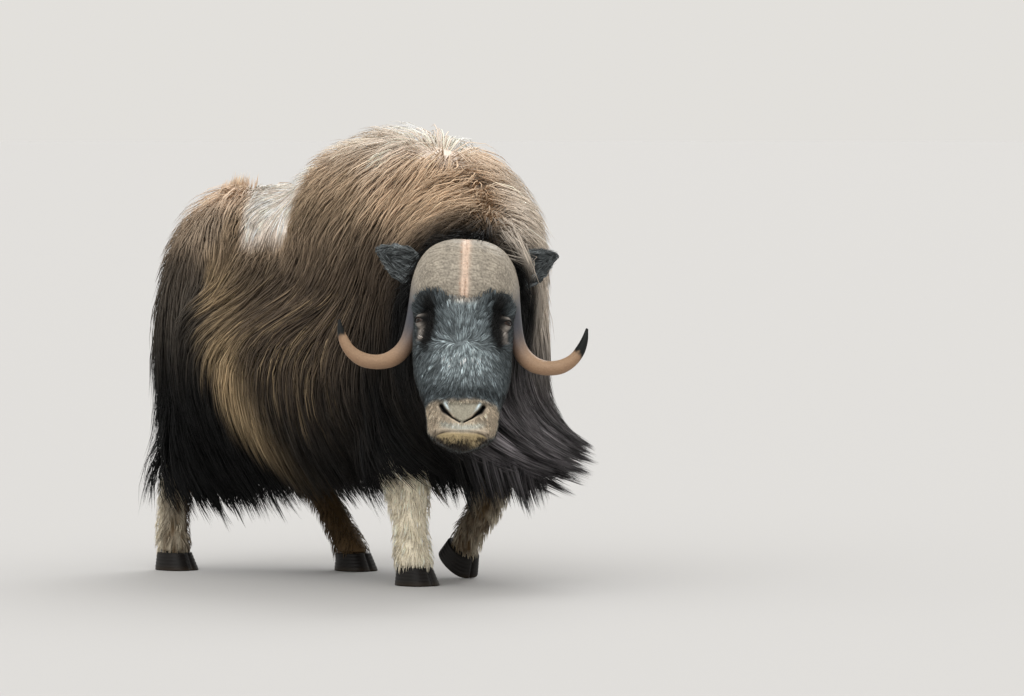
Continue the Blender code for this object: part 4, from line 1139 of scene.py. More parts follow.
def unwrap_trunk(points):
    """The trunk's skin rolled out: along it, and round it from the belly."""
    x, y, z = points.T
    around = np.arctan2(y, z - 0.80)
    return np.stack([spread_to(-0.95, 0.85, x), spread_to(-math.pi, math.pi, around)], -1)


def unwrap_head(points):
    """The head rolled out round its own upright axis."""
    a, b, c = to_head(points).T
    return np.stack([spread_to(-math.pi, math.pi, np.arctan2(b, a + 0.02)), spread_to(-0.42, 0.28, c)], -1)


def unwrap_ears(points):
    """The ears side by side, out along each and forward."""
    a, b, c = to_head(points).T
    out = np.hypot(np.abs(b) - 0.11, c - 0.16)
    return np.stack([spread_to(-0.19, 0.19, np.copysign(out, b)), spread_to(-0.14, -0.02, a)], -1)


def unwrap_legs(points):
    """Each leg rolled out in its own quarter of the map."""
    x, y, z = points.T
    front = x > -0.1
    middle = np.where(front, 0.27, np.where(y > 0, -0.44, -0.74))
    around = np.arctan2(y - np.where(y > 0, 0.16, -0.17), x - middle)
    u = spread_to(-math.pi, math.pi, around) * 0.48 + 0.5 * front
    v = spread_to(0.0, 0.5, z) * 0.48 + 0.5 * (y > 0)
    return np.stack([u, v], -1)


# Materials


# Roughness, sheen, speckle, and the size and height of the grain of each finish
FINISHES = {
    "skin": (0.66, 0.03, 0.22, 0.004, 0.0012),
    "hair": (0.66, 0.03, 0.14, 0.0022, 0.0006),
    "horn": (0.42, 0.0, 0.10, 0.003, 0.0005),
    "hoof": (0.45, 0.0, 0.18, 0.004, 0.0008),
    "eye": (0.12, 0.0, 0.03, 0.002, 0.00005),
}


def finished(name, finish):
    """A material of a piece's own colours, mottled finely, with a fine grain and, on hair, a sheen."""
    roughness, sheen, speckle, grain_size, grain_height = FINISHES[finish]
    material = bpy.data.materials.new(name)
    material.use_nodes = True
    nodes = material.node_tree.nodes
    links = material.node_tree.links
    shader = nodes["Principled BSDF"]
    shader.inputs["Roughness"].default_value = roughness
    shader.inputs["Specular IOR Level"].default_value = 0.16
    shader.inputs["Sheen Weight"].default_value = sheen
    shader.inputs["Sheen Roughness"].default_value = 0.45
    tone = nodes.new("ShaderNodeVertexColor")
    tone.layer_name = "tone"
    place = nodes.new("ShaderNodeTexCoord")
    mottle = nodes.new("ShaderNodeTexNoise")
    mottle.inputs["Scale"].default_value = 1 / grain_size
    mottle.inputs["Detail"].default_value = 3
    links.new(place.outputs["Object"], mottle.inputs["Vector"])
    span = nodes.new("ShaderNodeMapRange")
    span.inputs["From Min"].default_value = 0.25
    span.inputs["From Max"].default_value = 0.75
    span.inputs["To Min"].default_value = 1 - speckle
    span.inputs["To Max"].default_value = 1 + speckle
    links.new(mottle.outputs["Fac"], span.inputs["Value"])
    scale = nodes.new("ShaderNodeVectorMath")
    scale.operation = "SCALE"
    links.new(tone.outputs["Color"], scale.inputs[0])
    links.new(span.outputs["Result"], scale.inputs["Scale"])
    links.new(scale.outputs["Vector"], shader.inputs["Base Color"])
    bump = nodes.new("ShaderNodeBump")
    bump.inputs["Strength"].default_value = 0.5
    bump.inputs["Distance"].default_value = grain_height
    links.new(mottle.outputs["Fac"], bump.inputs["Height"])
    links.new(bump.outputs["Normal"], shader.inputs["Normal"])
    return material


def dress(thing, material, nodes=()):
    """Gives a piece its material and its body, and hides the solids that it stands for."""
    thing.data.materials.clear()
    thing.data.materials.append(material)
    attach(thing, "root")
    if nodes:
        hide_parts(*nodes)


# What a user would change


def colour(name, description, default):
    return bpy.props.FloatVectorProperty(
        name=name, description=description, default=default, size=3, min=0, max=1, subtype="COLOR_GAMMA"
    )


def measure(name, description, default, least):
    return bpy.props.FloatProperty(
        name=name, description=description, default=default, min=least, unit="LENGTH"
    )


class MuskoxColours(bpy.types.PropertyGroup):
    """Colours of the coat, face, horns and hooves."""

    cream: colour("Cream", "Saddle and the top of the hump", (0.93, 0.88, 0.82))
    sand: colour("Sand", "Hump and upper rump", (0.82, 0.72, 0.61))
    tan: colour("Tan", "Upper sides", (0.70, 0.61, 0.50))
    fawn: colour("Fawn", "Sides of the hump", (0.62, 0.54, 0.45))
    umber: colour("Umber", "Flank", (0.36, 0.31, 0.26))
    bark: colour("Bark", "Lower flank", (0.20, 0.175, 0.15))
    gold: colour("Gold", "Bleached streaks of the flank", (0.77, 0.67, 0.52))
    sable: colour("Sable", "Rear and the top of the skirt", (0.13, 0.12, 0.11))
    black: colour("Black", "Skirt, beard and round the eyes", (0.05, 0.052, 0.052))
    ash: colour("Ash", "Streaks of the beard", (0.62, 0.60, 0.615))
    slate: colour("Slate", "Sides of the face", (0.35, 0.385, 0.40))
    silver: colour("Silver", "Middle of the face", (0.68, 0.73, 0.745))
    muzzle: colour("Muzzle", "Short hair round the nose", (0.80, 0.74, 0.655))
    nose: colour("Nose", "Bare pad between the nostrils", (0.60, 0.58, 0.52))
    lip: colour("Lip", "Band above the mouth", (0.82, 0.83, 0.79))
    chin: colour("Chin", "Hair of the chin", (0.68, 0.61, 0.47))
    eye_skin: colour("Eye skin", "Bare skin below the eyes", (0.56, 0.535, 0.51))
    leg: colour("Leg", "Wool of the legs", (0.98, 0.94, 0.85))
    # Painted shade: the legs' wool where it lies in shadow; the hooves' worn soles also take it, darkened.
    leg_shade: colour("Leg shade", "Darker wool of the legs", (0.32, 0.25, 0.16))
    boss: colour("Boss", "Horn across the brow", (0.655, 0.62, 0.565))
    groove: colour("Groove", "Middle of the boss", (0.86, 0.76, 0.68))
    # Horn root: grey horn darkened with painted shade, where it lies beside the cheek.
    root: colour("Horn root", "Horn beside the cheek", (0.31, 0.315, 0.34))
    horn: colour("Horn", "Smooth horn", (0.645, 0.535, 0.435))
    horn_tip: colour("Horn tip", "Tip of the horn", (0.11, 0.12, 0.12))
    hoof: colour("Hoof", "Hooves", (0.10, 0.09, 0.085))
    iris: colour("Iris", "Iris of the eye", (0.17, 0.10, 0.06))
    floor: colour("Floor", "Floor of the stage", (0.745, 0.742, 0.739))


class MuskoxSizes(bpy.types.PropertyGroup):
    """Depths, lengths and numbers of the coat."""

    skin_depth: measure("Skin depth", "Skin below the coat's core", 0.030, 0)
    leg_fur: measure("Leg fur", "Depth of the legs' wool", 0.010, 0)
    skin_grain: measure("Skin grain", "Size of the skin's facets", 0.012, 0.004)
    long_width: measure("Long tuft", "Width of the long hair's tufts", 0.0046, 0.001)
    wool_width: measure("Wool tuft", "Width of the hump's and saddle's tufts", 0.0042, 0.001)
    face_width: measure("Face tuft", "Width of the face's tufts", 0.0022, 0.0005)
    density: bpy.props.FloatProperty(
        name="Density",
        description="Share of the full number of tufts",
        default=1.0,
        min=0.01,
        max=1.0,
        subtype="FACTOR",
    )


def palette_of(scene):
    group = scene.muskox_colours
    return {name: linear(getattr(group, name)) for name in group.__annotations__}


# Pieces


class MUSKOX_OT_skin(bpy.types.Operator):
    """Build one skin for the head, neck, trunk, tail, ears and legs"""

    bl_idname = "muskox.skin"
    bl_label = "Skin"

    def execute(self, context):
        sizes = context.scene.muskox_sizes
        depth = sizes.skin_depth
        parts = [closed_grid(trunk_grid(depth))]
        parts.append(smooth_tube(NECK_RINGS, *NECK_MESH, depth))
        parts.append(smooth_tube(THROAT_RINGS, *THROAT_MESH, depth))
        parts.append(smooth_tube(TAIL_RINGS, *TAIL_MESH, TAIL_DEPTH))
        parts += [closed_grid(leg_grid(name, sizes.leg_fur)) for name in LEGS]
        skin = joined("skin", parts)
        even = skin.modifiers.new("even", "REMESH")
        even.mode = "VOXEL"
        even.voxel_size = sizes.skin_grain
        soft = skin.modifiers.new("soft", "SMOOTH")
        soft.factor = 0.5
        soft.iterations = 8
        apply_modifiers(skin)
        crown = np.array((-0.035, 0, HEAD_PROFILE[0][0] + 0.006))
        chin = np.array((0.022, NOSE_SET, HEAD_PROFILE[-1][0] - 0.006))
        points, faces = closed_grid(head_grid(), crown, chin)
        unite(skin, from_faces("head", from_head(points), faces))
        for side in (1, -1):
            points, faces = closed_grid(ear_grid(side))
            unite(skin, from_faces("ear", from_head(points), faces))
        points = points_of(skin.data)
        region = region_of(points)
        # Painted shade on the skin under the hair, so that it shows as shadow between the tufts: darkest
        # under the long coat, less under the back's wool and least on the saddle; on the face, darker where
        # the fur grows, away from the eyes and the bare muzzle.
        under = 0.55 + 0.20 * smoothstep(0.90, 1.05, points[:, 2]) + 0.25 * saddle_share(points)
        local = to_head(points)
        to_eye = np.minimum(*(eye_spot(local, side)[3] for side in (1, -1)))
        furred = smoothstep(-0.255, -0.235, local[:, 2]) * smoothstep(0.030, 0.050, to_eye)
        shade = np.where(region == TRUNK, under, np.where(region == FACE, 1 - 0.45 * furred, 1.0))
        colour_by(skin, tone_of(points, region, palette_of(context.scene)) * shade[:, None])
        dress(skin, finished("skin", "skin"), FLESH)
        return {"FINISHED"}


# The nodes of the solids that the skin stands for
FLESH = (
    "head", "neck", "shoulders", "barrel", "hindquarters", "tail", "ear_left", "ear_right",
    "leg_front_left", "leg_front_right", "leg_hind_left", "leg_hind_right",
)


class HornSheath:
    """One horn: its grid of points, with the grooves of the boss, and the noise that its colours share."""

    def __init__(self, side):
        rows = [(i, *inner, *outer, *sizes) for i, (inner, outer, *sizes) in enumerate(HORN_RINGS)]
        boss_rings, horn_rings, sides = HORN_MESH
        on_boss = np.linspace(0, BOSS_END, boss_rings, endpoint=False)
        self.at = np.concatenate([on_boss, np.linspace(BOSS_END, len(rows) - 1, horn_rings)])
        self.turn = turns(sides)
        in_b, in_c, out_b, out_c, forward, thick = spline(rows, self.at)
        low = np.stack([forward, in_b, in_c], -1)
        high = np.stack([forward, out_b, out_c], -1)
        tall = (high - low) / 2
        reach = thick[:, None, None] * np.array((1.0, 0, 0))
        wheel = self.turn[None, :, None]
        grid = ((high + low) / 2)[:, None] + tall[:, None] * np.cos(wheel) + reach * np.sin(wheel)
        self.flat = grid.reshape(-1, 3)
        self.along = np.repeat(self.at, sides)
        around = np.tile(self.turn, len(self.at))
        warp = grain(self.flat, 0.030, 2)
        height = np.linalg.norm(tall, axis=-1).repeat(sides)
        bent = np.cos(around) * height + 0.004 * warp + 0.010 * (self.along / 4) ** 2
        stretch = np.stack([self.along * 0.0030, bent, np.sign(np.sin(around))], -1)
        self.boss = smoothstep(5.2, 3.4, self.at)[:, None]
        self.ridge = grain(stretch, 0.0034, 2).reshape(grid.shape[:2])
        self.rough = grain(self.flat, 0.005, 2).reshape(grid.shape[:2])
        self.ragged = warp.reshape(grid.shape[:2])
        lift = self.boss * (0.0014 * self.ridge + 0.0008 * self.rough)
        lift = lift - 0.0015 * bell(grid[..., 1], 0.010) * self.boss
        self.grid = grid + grid_normals(grid) * lift[..., None]
        self.grid[..., 1] = np.maximum(self.grid[..., 1], 0.0) * side

    def tone(self, palette, black_from):
        """Colours: grey beside the cheek, darkened with painted shade, pale and grooved on the boss, painted
        shade on the underside beyond it, black from a section to the tip.
        """
        at = self.at[:, None]
        rough, ragged, boss = self.rough, self.ragged, self.boss
        across = self.grid[..., 1]
        # Beside the cheek the horn takes the root colour: grey horn darkened with painted shade.
        made = mix(palette["horn"], palette["root"], smoothstep(10.0, 6.0, at).repeat(across.shape[1], 1))
        made = mix(made, palette["boss"], np.broadcast_to(smoothstep(5.6, 3.6, at), across.shape))
        grooves = smoothstep(0.05, 0.55, np.abs(self.ridge)) * 1.3 - 1.0
        made = made * (1 + 0.30 * grooves * boss + (0.15 + 0.25 * boss) * rough)[..., None]
        pale = bell(np.abs(across) + 0.004 * ragged + 0.003 * rough, 0.0120)
        made = mix(made, palette["groove"] * (1 + 0.45 * rough)[..., None], np.clip(pale * 1.5, 0, 1) * boss)
        seam = bell(across - 0.0035 - 0.004 * ragged, 0.0028) + bell(across + 0.0130, 0.0030)
        flecks = seam * boss * smoothstep(-0.05, 0.35, rough - 0.2 * ragged)
        made = mix(made, palette["groove"] * (0.38, 0.26, 0.20), np.clip(flecks, 0, 1) * 0.85)
        # Painted shade on the horn's underside.
        under = smoothstep(0.2, -0.9, np.cos(self.turn))[None] * smoothstep(6.0, 8.0, at)
        made = mix(made, palette["horn"] * (0.55, 0.45, 0.40), under * 0.35).reshape(-1, 3)
        tip = smoothstep(black_from, black_from + 0.5, self.along + 0.25 * grain(self.flat, 0.01))
        return mix(made, palette["horn_tip"], tip)


class MUSKOX_OT_horns(bpy.types.Operator):
    """Build the two horns with the ridged boss that they meet in"""

    bl_idname = "muskox.horns"
    bl_label = "Horns"

    def execute(self, context):
        palette = palette_of(context.scene)
        for side, name in ((1, "horn_left"), (-1, "horn_right")):
            horn = HornSheath(side)
            tone = horn.tone(palette, HORN_BLACK_FROM[name])
            points, faces = closed_grid(horn.grid)
            sheath = from_faces(name + "_sheath", from_head(points), faces)
            colour_by(sheath, np.clip(np.concatenate([tone, tone[:1], tone[-1:]]), 0, 1))
            dress(sheath, finished(name, "horn"), (name,))
        return {"FINISHED"}


class MUSKOX_OT_eyes(bpy.types.Operator):
    """Build the eyes, brown with a level pupil and a wet surface"""

    bl_idname = "muskox.eyes"
    bl_label = "Eyes"

    def execute(self, context):
        palette = palette_of(context.scene)
        for side, name in ((1, "eye_left"), (-1, "eye_right")):
            centre, out, along, up = eye_frame(side)
            angle = np.concatenate([np.linspace(0.0, 1.0, 40), np.linspace(1.05, math.pi - 0.02, 30)])[1:]
            turn = turns(EYE_SIDES)
            radius = EYE_RADIUS * (1 + 0.035 * bell(angle, 0.55)) - 0.0004
            ring = np.cos(turn)[:, None] * along + np.sin(turn)[:, None] * up
            flat = np.sin(angle)[:, None, None] * ring[None] + np.cos(angle)[:, None, None] * out
            grid = centre + flat * radius[:, None, None]
            s = np.sin(angle)[:, None] * np.cos(turn)[None]
            t = np.sin(angle)[:, None] * np.sin(turn)[None]
            far = np.hypot(s, t)
            rays = grain(np.stack([np.cos(turn) * 3, np.sin(turn) * 3, turn * 0], -1), 0.4)[None]
            tone = palette["iris"] * (0.7 + 0.4 * rays + 0.4 * far)[..., None]
            tone = mix(tone, palette["black"] * 0.3, smoothstep(*IRIS_EDGE, far))
            white = smoothstep(*WHITE_EDGE, far) * (np.cos(angle)[:, None] > 0)
            tone = mix(tone, palette["eye_skin"] * 0.35, white)
            pupil = smoothstep(1.15, 0.85, np.hypot(s / PUPIL[0], t / PUPIL[1]))
            pupil_tone = palette["black"] * 0.05
            tone = mix(tone, pupil_tone, pupil)
            points, faces = closed_grid(grid, centre + out * radius[0], centre - out * EYE_RADIUS)
            eye = from_faces(name + "_ball", from_head(points), faces)
            colours = tone.reshape(-1, 3)
            colour_by(eye, np.clip(np.concatenate([colours, [pupil_tone], colours[-1:]]), 0, 1))
            material = finished(name, "eye")
            shader = material.node_tree.nodes["Principled BSDF"]
            shader.inputs["Specular IOR Level"].default_value = 0.15
            shader.inputs["Coat Weight"].default_value = 0.30
            shader.inputs["Coat Roughness"].default_value = 0.04
            dress(eye, material, (name,))
        return {"FINISHED"}


def claw_grid(inner_edge, side):
    """One hoof in its own frame, toe along X, ground at 0, its straight inner face beside the cleft."""
    level = np.concatenate([[0.0, 0.02, 0.05], np.linspace(0.1, 1.0, 22)])
    turn = np.linspace(0, math.pi, 40)
    spread = 1.0 - 0.22 * level
    spread[:3] = (0.93, 0.965, 0.985)
    growth_rings = 1 + 0.010 * np.sin(level * 34) * smoothstep(0.05, 0.2, level)
    spread = (spread * growth_rings)[:, None]
    x = np.cos(turn)[None] * CLAW_LENGTH / 2 * spread + TOE_LEAN - TOE_LEAN * level[:, None]
    y = side * (inner_edge + np.sin(turn)[None] ** 0.7 * CLAW_WIDTH * spread)
    z = np.broadcast_to(level[:, None] * CLAW_TOP, x.shape)
    return np.stack([x, y, z], -1)


class MUSKOX_OT_hooves(bpy.types.Operator):
    """Build the eight claws of the hooves"""

    bl_idname = "muskox.hooves"
    bl_label = "Hooves"

    def execute(self, context):
        palette = palette_of(context.scene)
        material = finished("hoof", "hoof")
        turn = np.array(Matrix.Rotation(TOE_TILT, 3, "Y"))
        for leg, rows in LEGS.items():
            place = np.array(rows[-1][0])
            for side, word in ((1, "left"), (-1, "right")):
                grid = claw_grid(CLEFT / 2, side)
                if leg == BENT_LEG:
                    grid = (grid - (0, 0, CLAW_TOP)) @ turn.T + place
                    grid[..., 2] = np.maximum(grid[..., 2], 0.0)
                else:
                    grid = grid + (place[0], place[1], 0)
                points, faces = closed_grid(grid)
                name = f"claw_{leg}_{word}"
                hoof = from_faces(name + "_shell", points, faces)
                worn = smoothstep(0.02, 0.0, points[:, 2]) * 0.35
                rings = 0.25 * grain(points * (0.2, 0.2, 1), 0.004)
                tone = mix(palette["hoof"], palette["leg_shade"] * 0.5, worn) * (1 + rings)[:, None]
                colour_by(hoof, np.clip(tone, 0, 1))
                dress(hoof, material, (name,))
        return {"FINISHED"}


def hair_length(points):
    """Length of the long coat: short on the saddle, longest on the flanks, down to the skirt's tips."""
    x, _, z = points.T
    edge = smoothstep(-0.34, -0.26, x) * smoothstep(0.02, -0.10, x)
    wool = 0.18 - 0.085 * np.maximum(saddle_share(points), edge) - 0.03 * smoothstep(0.42, 0.60, x)
    long = 0.33 - 0.03 * smoothstep(0.0, 0.15, (points - BEARD_ROOT) @ WIND)
    (level,) = spline(SKIRT_TIPS, x)
    skirt = np.maximum((z - level) * 1.12, 0.12)
    made = long + (skirt - long) * (z < SKIRT_TOP) * (x < SKIRT_END)
    return made + (wool - made) * smoothstep(0.90, 1.02, z)


def hair_rise(points):
    """How far the long coat stands off the skin."""
    x, y, z = points.T
    side = np.abs(y)
    ridge = bell(x + 0.655 - 0.95 * side, 0.035) * smoothstep(0.12, 0.03, side)
    high = smoothstep(0.90, 1.05, z)
    pressed = 0.006 + 0.058 * saddle_share(points) + 0.034 * bell(x + 0.20, 0.08) - 0.010 * ridge
    made = 0.084 - high * pressed
    made = made - high * 0.026 * smoothstep(0.04, 0.13, side) * smoothstep(-0.45, -0.58, x)
    made = np.maximum(made, 0.018) - 0.030 * smoothstep(0.46, 0.62, x + y) * smoothstep(0.58, 0.72, z)
    made = made - high * 0.020 * smoothstep(0.07, 0.17, side) * bell(x + 0.17, 0.14)
    return made - (0.008 + 0.030 * smoothstep(-0.55, -0.72, x)) * smoothstep(0.60, 0.50, z)


# Each piece of coat, with the number that its random draws start from and its number of tufts
COAT = {
    "coat_hump": (1, 7400),
    "coat_rump": (2, 6400),
    "coat_nape": (3, 4400),
    "coat_peak": (4, 300),
    "coat_rear_right": (10, 2200),
    "coat_rear_left": (11, 2200),
    "coat_flank_right": (12, 3000),
    "coat_flank_left": (13, 3000),
    "coat_shoulder_right": (14, 1600),
    "coat_shoulder_left": (15, 1600),
    "coat_skirt_rear_right": (20, 1700),
    "coat_skirt_rear_left": (21, 1700),
    "coat_skirt_right": (22, 2200),
    "coat_skirt_left": (23, 2200),
    "coat_neck": (31, 3300),
    "coat_beard": (32, 3600),
    "coat_brisket": (33, 1100),
    "coat_face": (41, 12000),
    "coat_brow": (42, 1200),
    "coat_muzzle": (43, 2800),
    "coat_chin": (44, 1400),
    "coat_ears": (51, 2600),
    "coat_legs": (61, 6200),
}
# What every piece of coat is laid with unless it says otherwise: the part of the animal, the lie, length,
# rise, map and slot; a tuft's sections, twist, sway, root below the skin and lift of its tip; the number of
# tufts that gather to one and how strongly; the spread of colour among tufts and among locks; the level
# above which hair keeps to the skin; the brightness of roots, kept low as painted shade deep in the coat;
# and the brightness of tips.
LAID = {
    "region": TRUNK, "lie_of": lie, "length": hair_length, "rise": hair_rise, "unwrap": unwrap_trunk,
    "slot": "coat", "sections": 5, "twist": 0.6, "sway": 0.008, "sink": 0.010, "lift": 0.012, "every": 14,
    "pull": 0.52, "uneven": 0.16, "streaks": 0.16, "hold": 0.78, "root": 0.72, "tip": 1.12,
}
# A level of hold that no hair reaches, and one below all of it
NEVER_HELD = 9
ALWAYS_HELD = -1
HANDS = (("right", -1), ("left", 1))


def lay(comb, context, name, wanted, **changes):
    """One piece of coat: roots where wanted, combed along the lie, gathered in locks, waved and coloured."""
    how = {**LAID, **changes}
    seed, count = COAT[name]
    chance = np.random.default_rng(SEED * 100 + seed)
    count = int(count * context.scene.muskox_sizes.density)
    weights = wanted(comb.centres, comb.normals) * (comb.regions == how["region"])
    roots, normals = comb.roots(weights, count, chance)
    lump = grain(roots, 0.045)
    length = how["length"](roots) * (1 + 0.15 * lump) * chance.uniform(0.75, 1.12, count)
    rise = how["rise"](roots) * (1 + 0.12 * lump) * chance.uniform(0.45, 1.0, count)
    lift = how["lift"] * chance.random(count) ** 3
    path, out = comb.run(roots, normals, length, rise, lift, how)
    path, leader = comb.gather(path, how["every"], how["pull"], chance)
    path = comb.wave(path, out, how["sway"], 0.09)
    region = np.full(count, how["region"])
    streak = chance.normal(0, 1, count)[leader]
    vary = np.exp(how["streaks"] * streak + chance.normal(0, how["uneven"], count))[:, None]
    stops = (1, how["sections"] // 2 + 1, how["sections"])
    tones = [tone_of(path[:, stop], region, comb.palette) * vary for stop in stops]
    tones[0] = mix(tones[0], tones[1], 0.3)
    tones[2] = mix(tones[1], tones[2], 0.8) * how["tip"]
    width = how["width"] * chance.uniform(0.6, 1.35, count)
    thing = comb.mesh(name, path, out, width, tones, chance, how)
    dress(thing, finished(name, "hair"))


def between(low_x, high_x, low_z, high_z, side=0):
    """Whether a place lies in a span of x and z, on one side or both."""

    def wanted(p, n):
        x, y, z = p.T
        return (x > low_x) & (x <= high_x) & (z > low_z) & (z <= high_z) & (y * side >= 0)

    return wanted


def even(value):
    """The same measure for every tuft."""
    return lambda points: np.full(len(points), value)


def everywhere(p, n):
    return np.ones(len(p))


class MUSKOX_OT_back(bpy.types.Operator):
    """Lay the wool of the hump, the saddle and the rump"""

    bl_idname = "muskox.back"
    bl_label = "Back"

    def execute(self, context):
        comb = Comb(palette_of(context.scene))
        wool = {
            "width": context.scene.muskox_sizes.wool_width, "sections": 3, "every": 9, "pull": 0.32,
            "sway": 0.004, "twist": 0.7, "root": 0.94, "lift": 0.018, "streaks": 0.09, "uneven": 0.13,
            "tip": 1.06,
        }
        upright = {"lie_of": peak_lie, "length": even(0.080), "rise": even(0.046), "hold": NEVER_HELD}
        behind = between(-BEYOND, RUMP_END, FLANK_TOP, BEYOND)

        def rump(p, n):
            return behind(p, n) * (1 + 0.8 * saddle_share(p))

        def peak(p, n):
            return bell(p[:, 0] + 0.665, 0.024) * bell(p[:, 1] + 0.025, 0.035) * (p[:, 2] > 1.0)

        lay(comb, context, "coat_hump", between(RUMP_END, HUMP_END, FLANK_TOP, BEYOND), **wool)
        lay(comb, context, "coat_rump", rump, **wool)
        lay(comb, context, "coat_nape", between(HUMP_END, BEYOND, NECK_TOP, BEYOND), **wool)
        lay(comb, context, "coat_peak", peak, **{**wool, **upright})
        return {"FINISHED"}


class MUSKOX_OT_flanks(bpy.types.Operator):
    """Lay the long hair of the flanks, the rear and the shoulders"""

    bl_idname = "muskox.flanks"
    bl_label = "Flanks"

    def execute(self, context):
        comb = Comb(palette_of(context.scene))
        width = context.scene.muskox_sizes.long_width
        spans = {
            "rear": (-BEYOND, REAR_END),
            "flank": (REAR_END, FLANK_END),
            "shoulder": (FLANK_END, SHOULDER_END),
        }
        for hand, side in HANDS:
            for part, span in spans.items():
                wanted = between(*span, SKIRT_TOP, FLANK_TOP, side)
                lay(comb, context, f"coat_{part}_{hand}", wanted, width=width)
        return {"FINISHED"}


class MUSKOX_OT_skirt(bpy.types.Operator):
    """Hang the skirt, down to the level that its tips reach"""

    bl_idname = "muskox.skirt"
    bl_label = "Skirt"

    def execute(self, context):
        comb = Comb(palette_of(context.scene))
        width = context.scene.muskox_sizes.long_width

        def outer(low_x, high_x, side):
            """Less hair where the skin looks down."""
            inside = between(low_x, high_x, 0, SKIRT_TOP, side)
            return lambda p, n: inside(p, n) * (0.25 + 0.75 * smoothstep(-0.95, -0.3, n[:, 2]))

        how = {"width": width, "pull": 0.75}
        for hand, side in HANDS:
            lay(comb, context, f"coat_skirt_rear_{hand}", outer(-BEYOND, REAR_END, side), **how)
            lay(comb, context, f"coat_skirt_{hand}", outer(REAR_END, SKIRT_END, side), **how)
        return {"FINISHED"}


class MUSKOX_OT_beard(bpy.types.Operator):
    """Lay the neck's hair, the beard that the wind carries to the animal's left, and the brisket under it"""

    bl_idname = "muskox.beard"
    bl_label = "Neck and beard"

    def execute(self, context):
        comb = Comb(palette_of(context.scene))
        width = context.scene.muskox_sizes.long_width
        front = between(SHOULDER_END, BEYOND, BEARD_LEVELS[1], NECK_TOP)
        corner = between(HUMP_END, SHOULDER_END, NECK_TOP, FLANK_TOP)
        throat = between(SKIRT_END, BEYOND, *BEARD_LEVELS)
        chest = between(0.30, 0.60, 0.36, 0.56)

        def neck(p, n):
            return front(p, n) | corner(p, n)

        def longer(p):
            """Shorter downwind on the lower throat."""
            return 0.31 - 0.08 * smoothstep(0.05, 0.20, (p - BEARD_ROOT) @ WIND) * (p[:, 2] < SKIRT_TOP)

        def down(p):
            """Down to the level of the knees."""
            return np.maximum((p[:, 2] - 0.245) * 1.05, 0.10)

        lay(comb, context, "coat_neck", neck, width=width, sway=0.005)
        lay(
            comb, context, "coat_beard", throat, width=width, length=longer, sway=0.004, every=26, pull=0.75,
            uneven=0.22, streaks=0.30,
        )
        lay(
            comb, context, "coat_brisket", chest, width=width, length=down, lie_of=hang, rise=even(0.05),
            pull=0.75,
        )
        return {"FINISHED"}


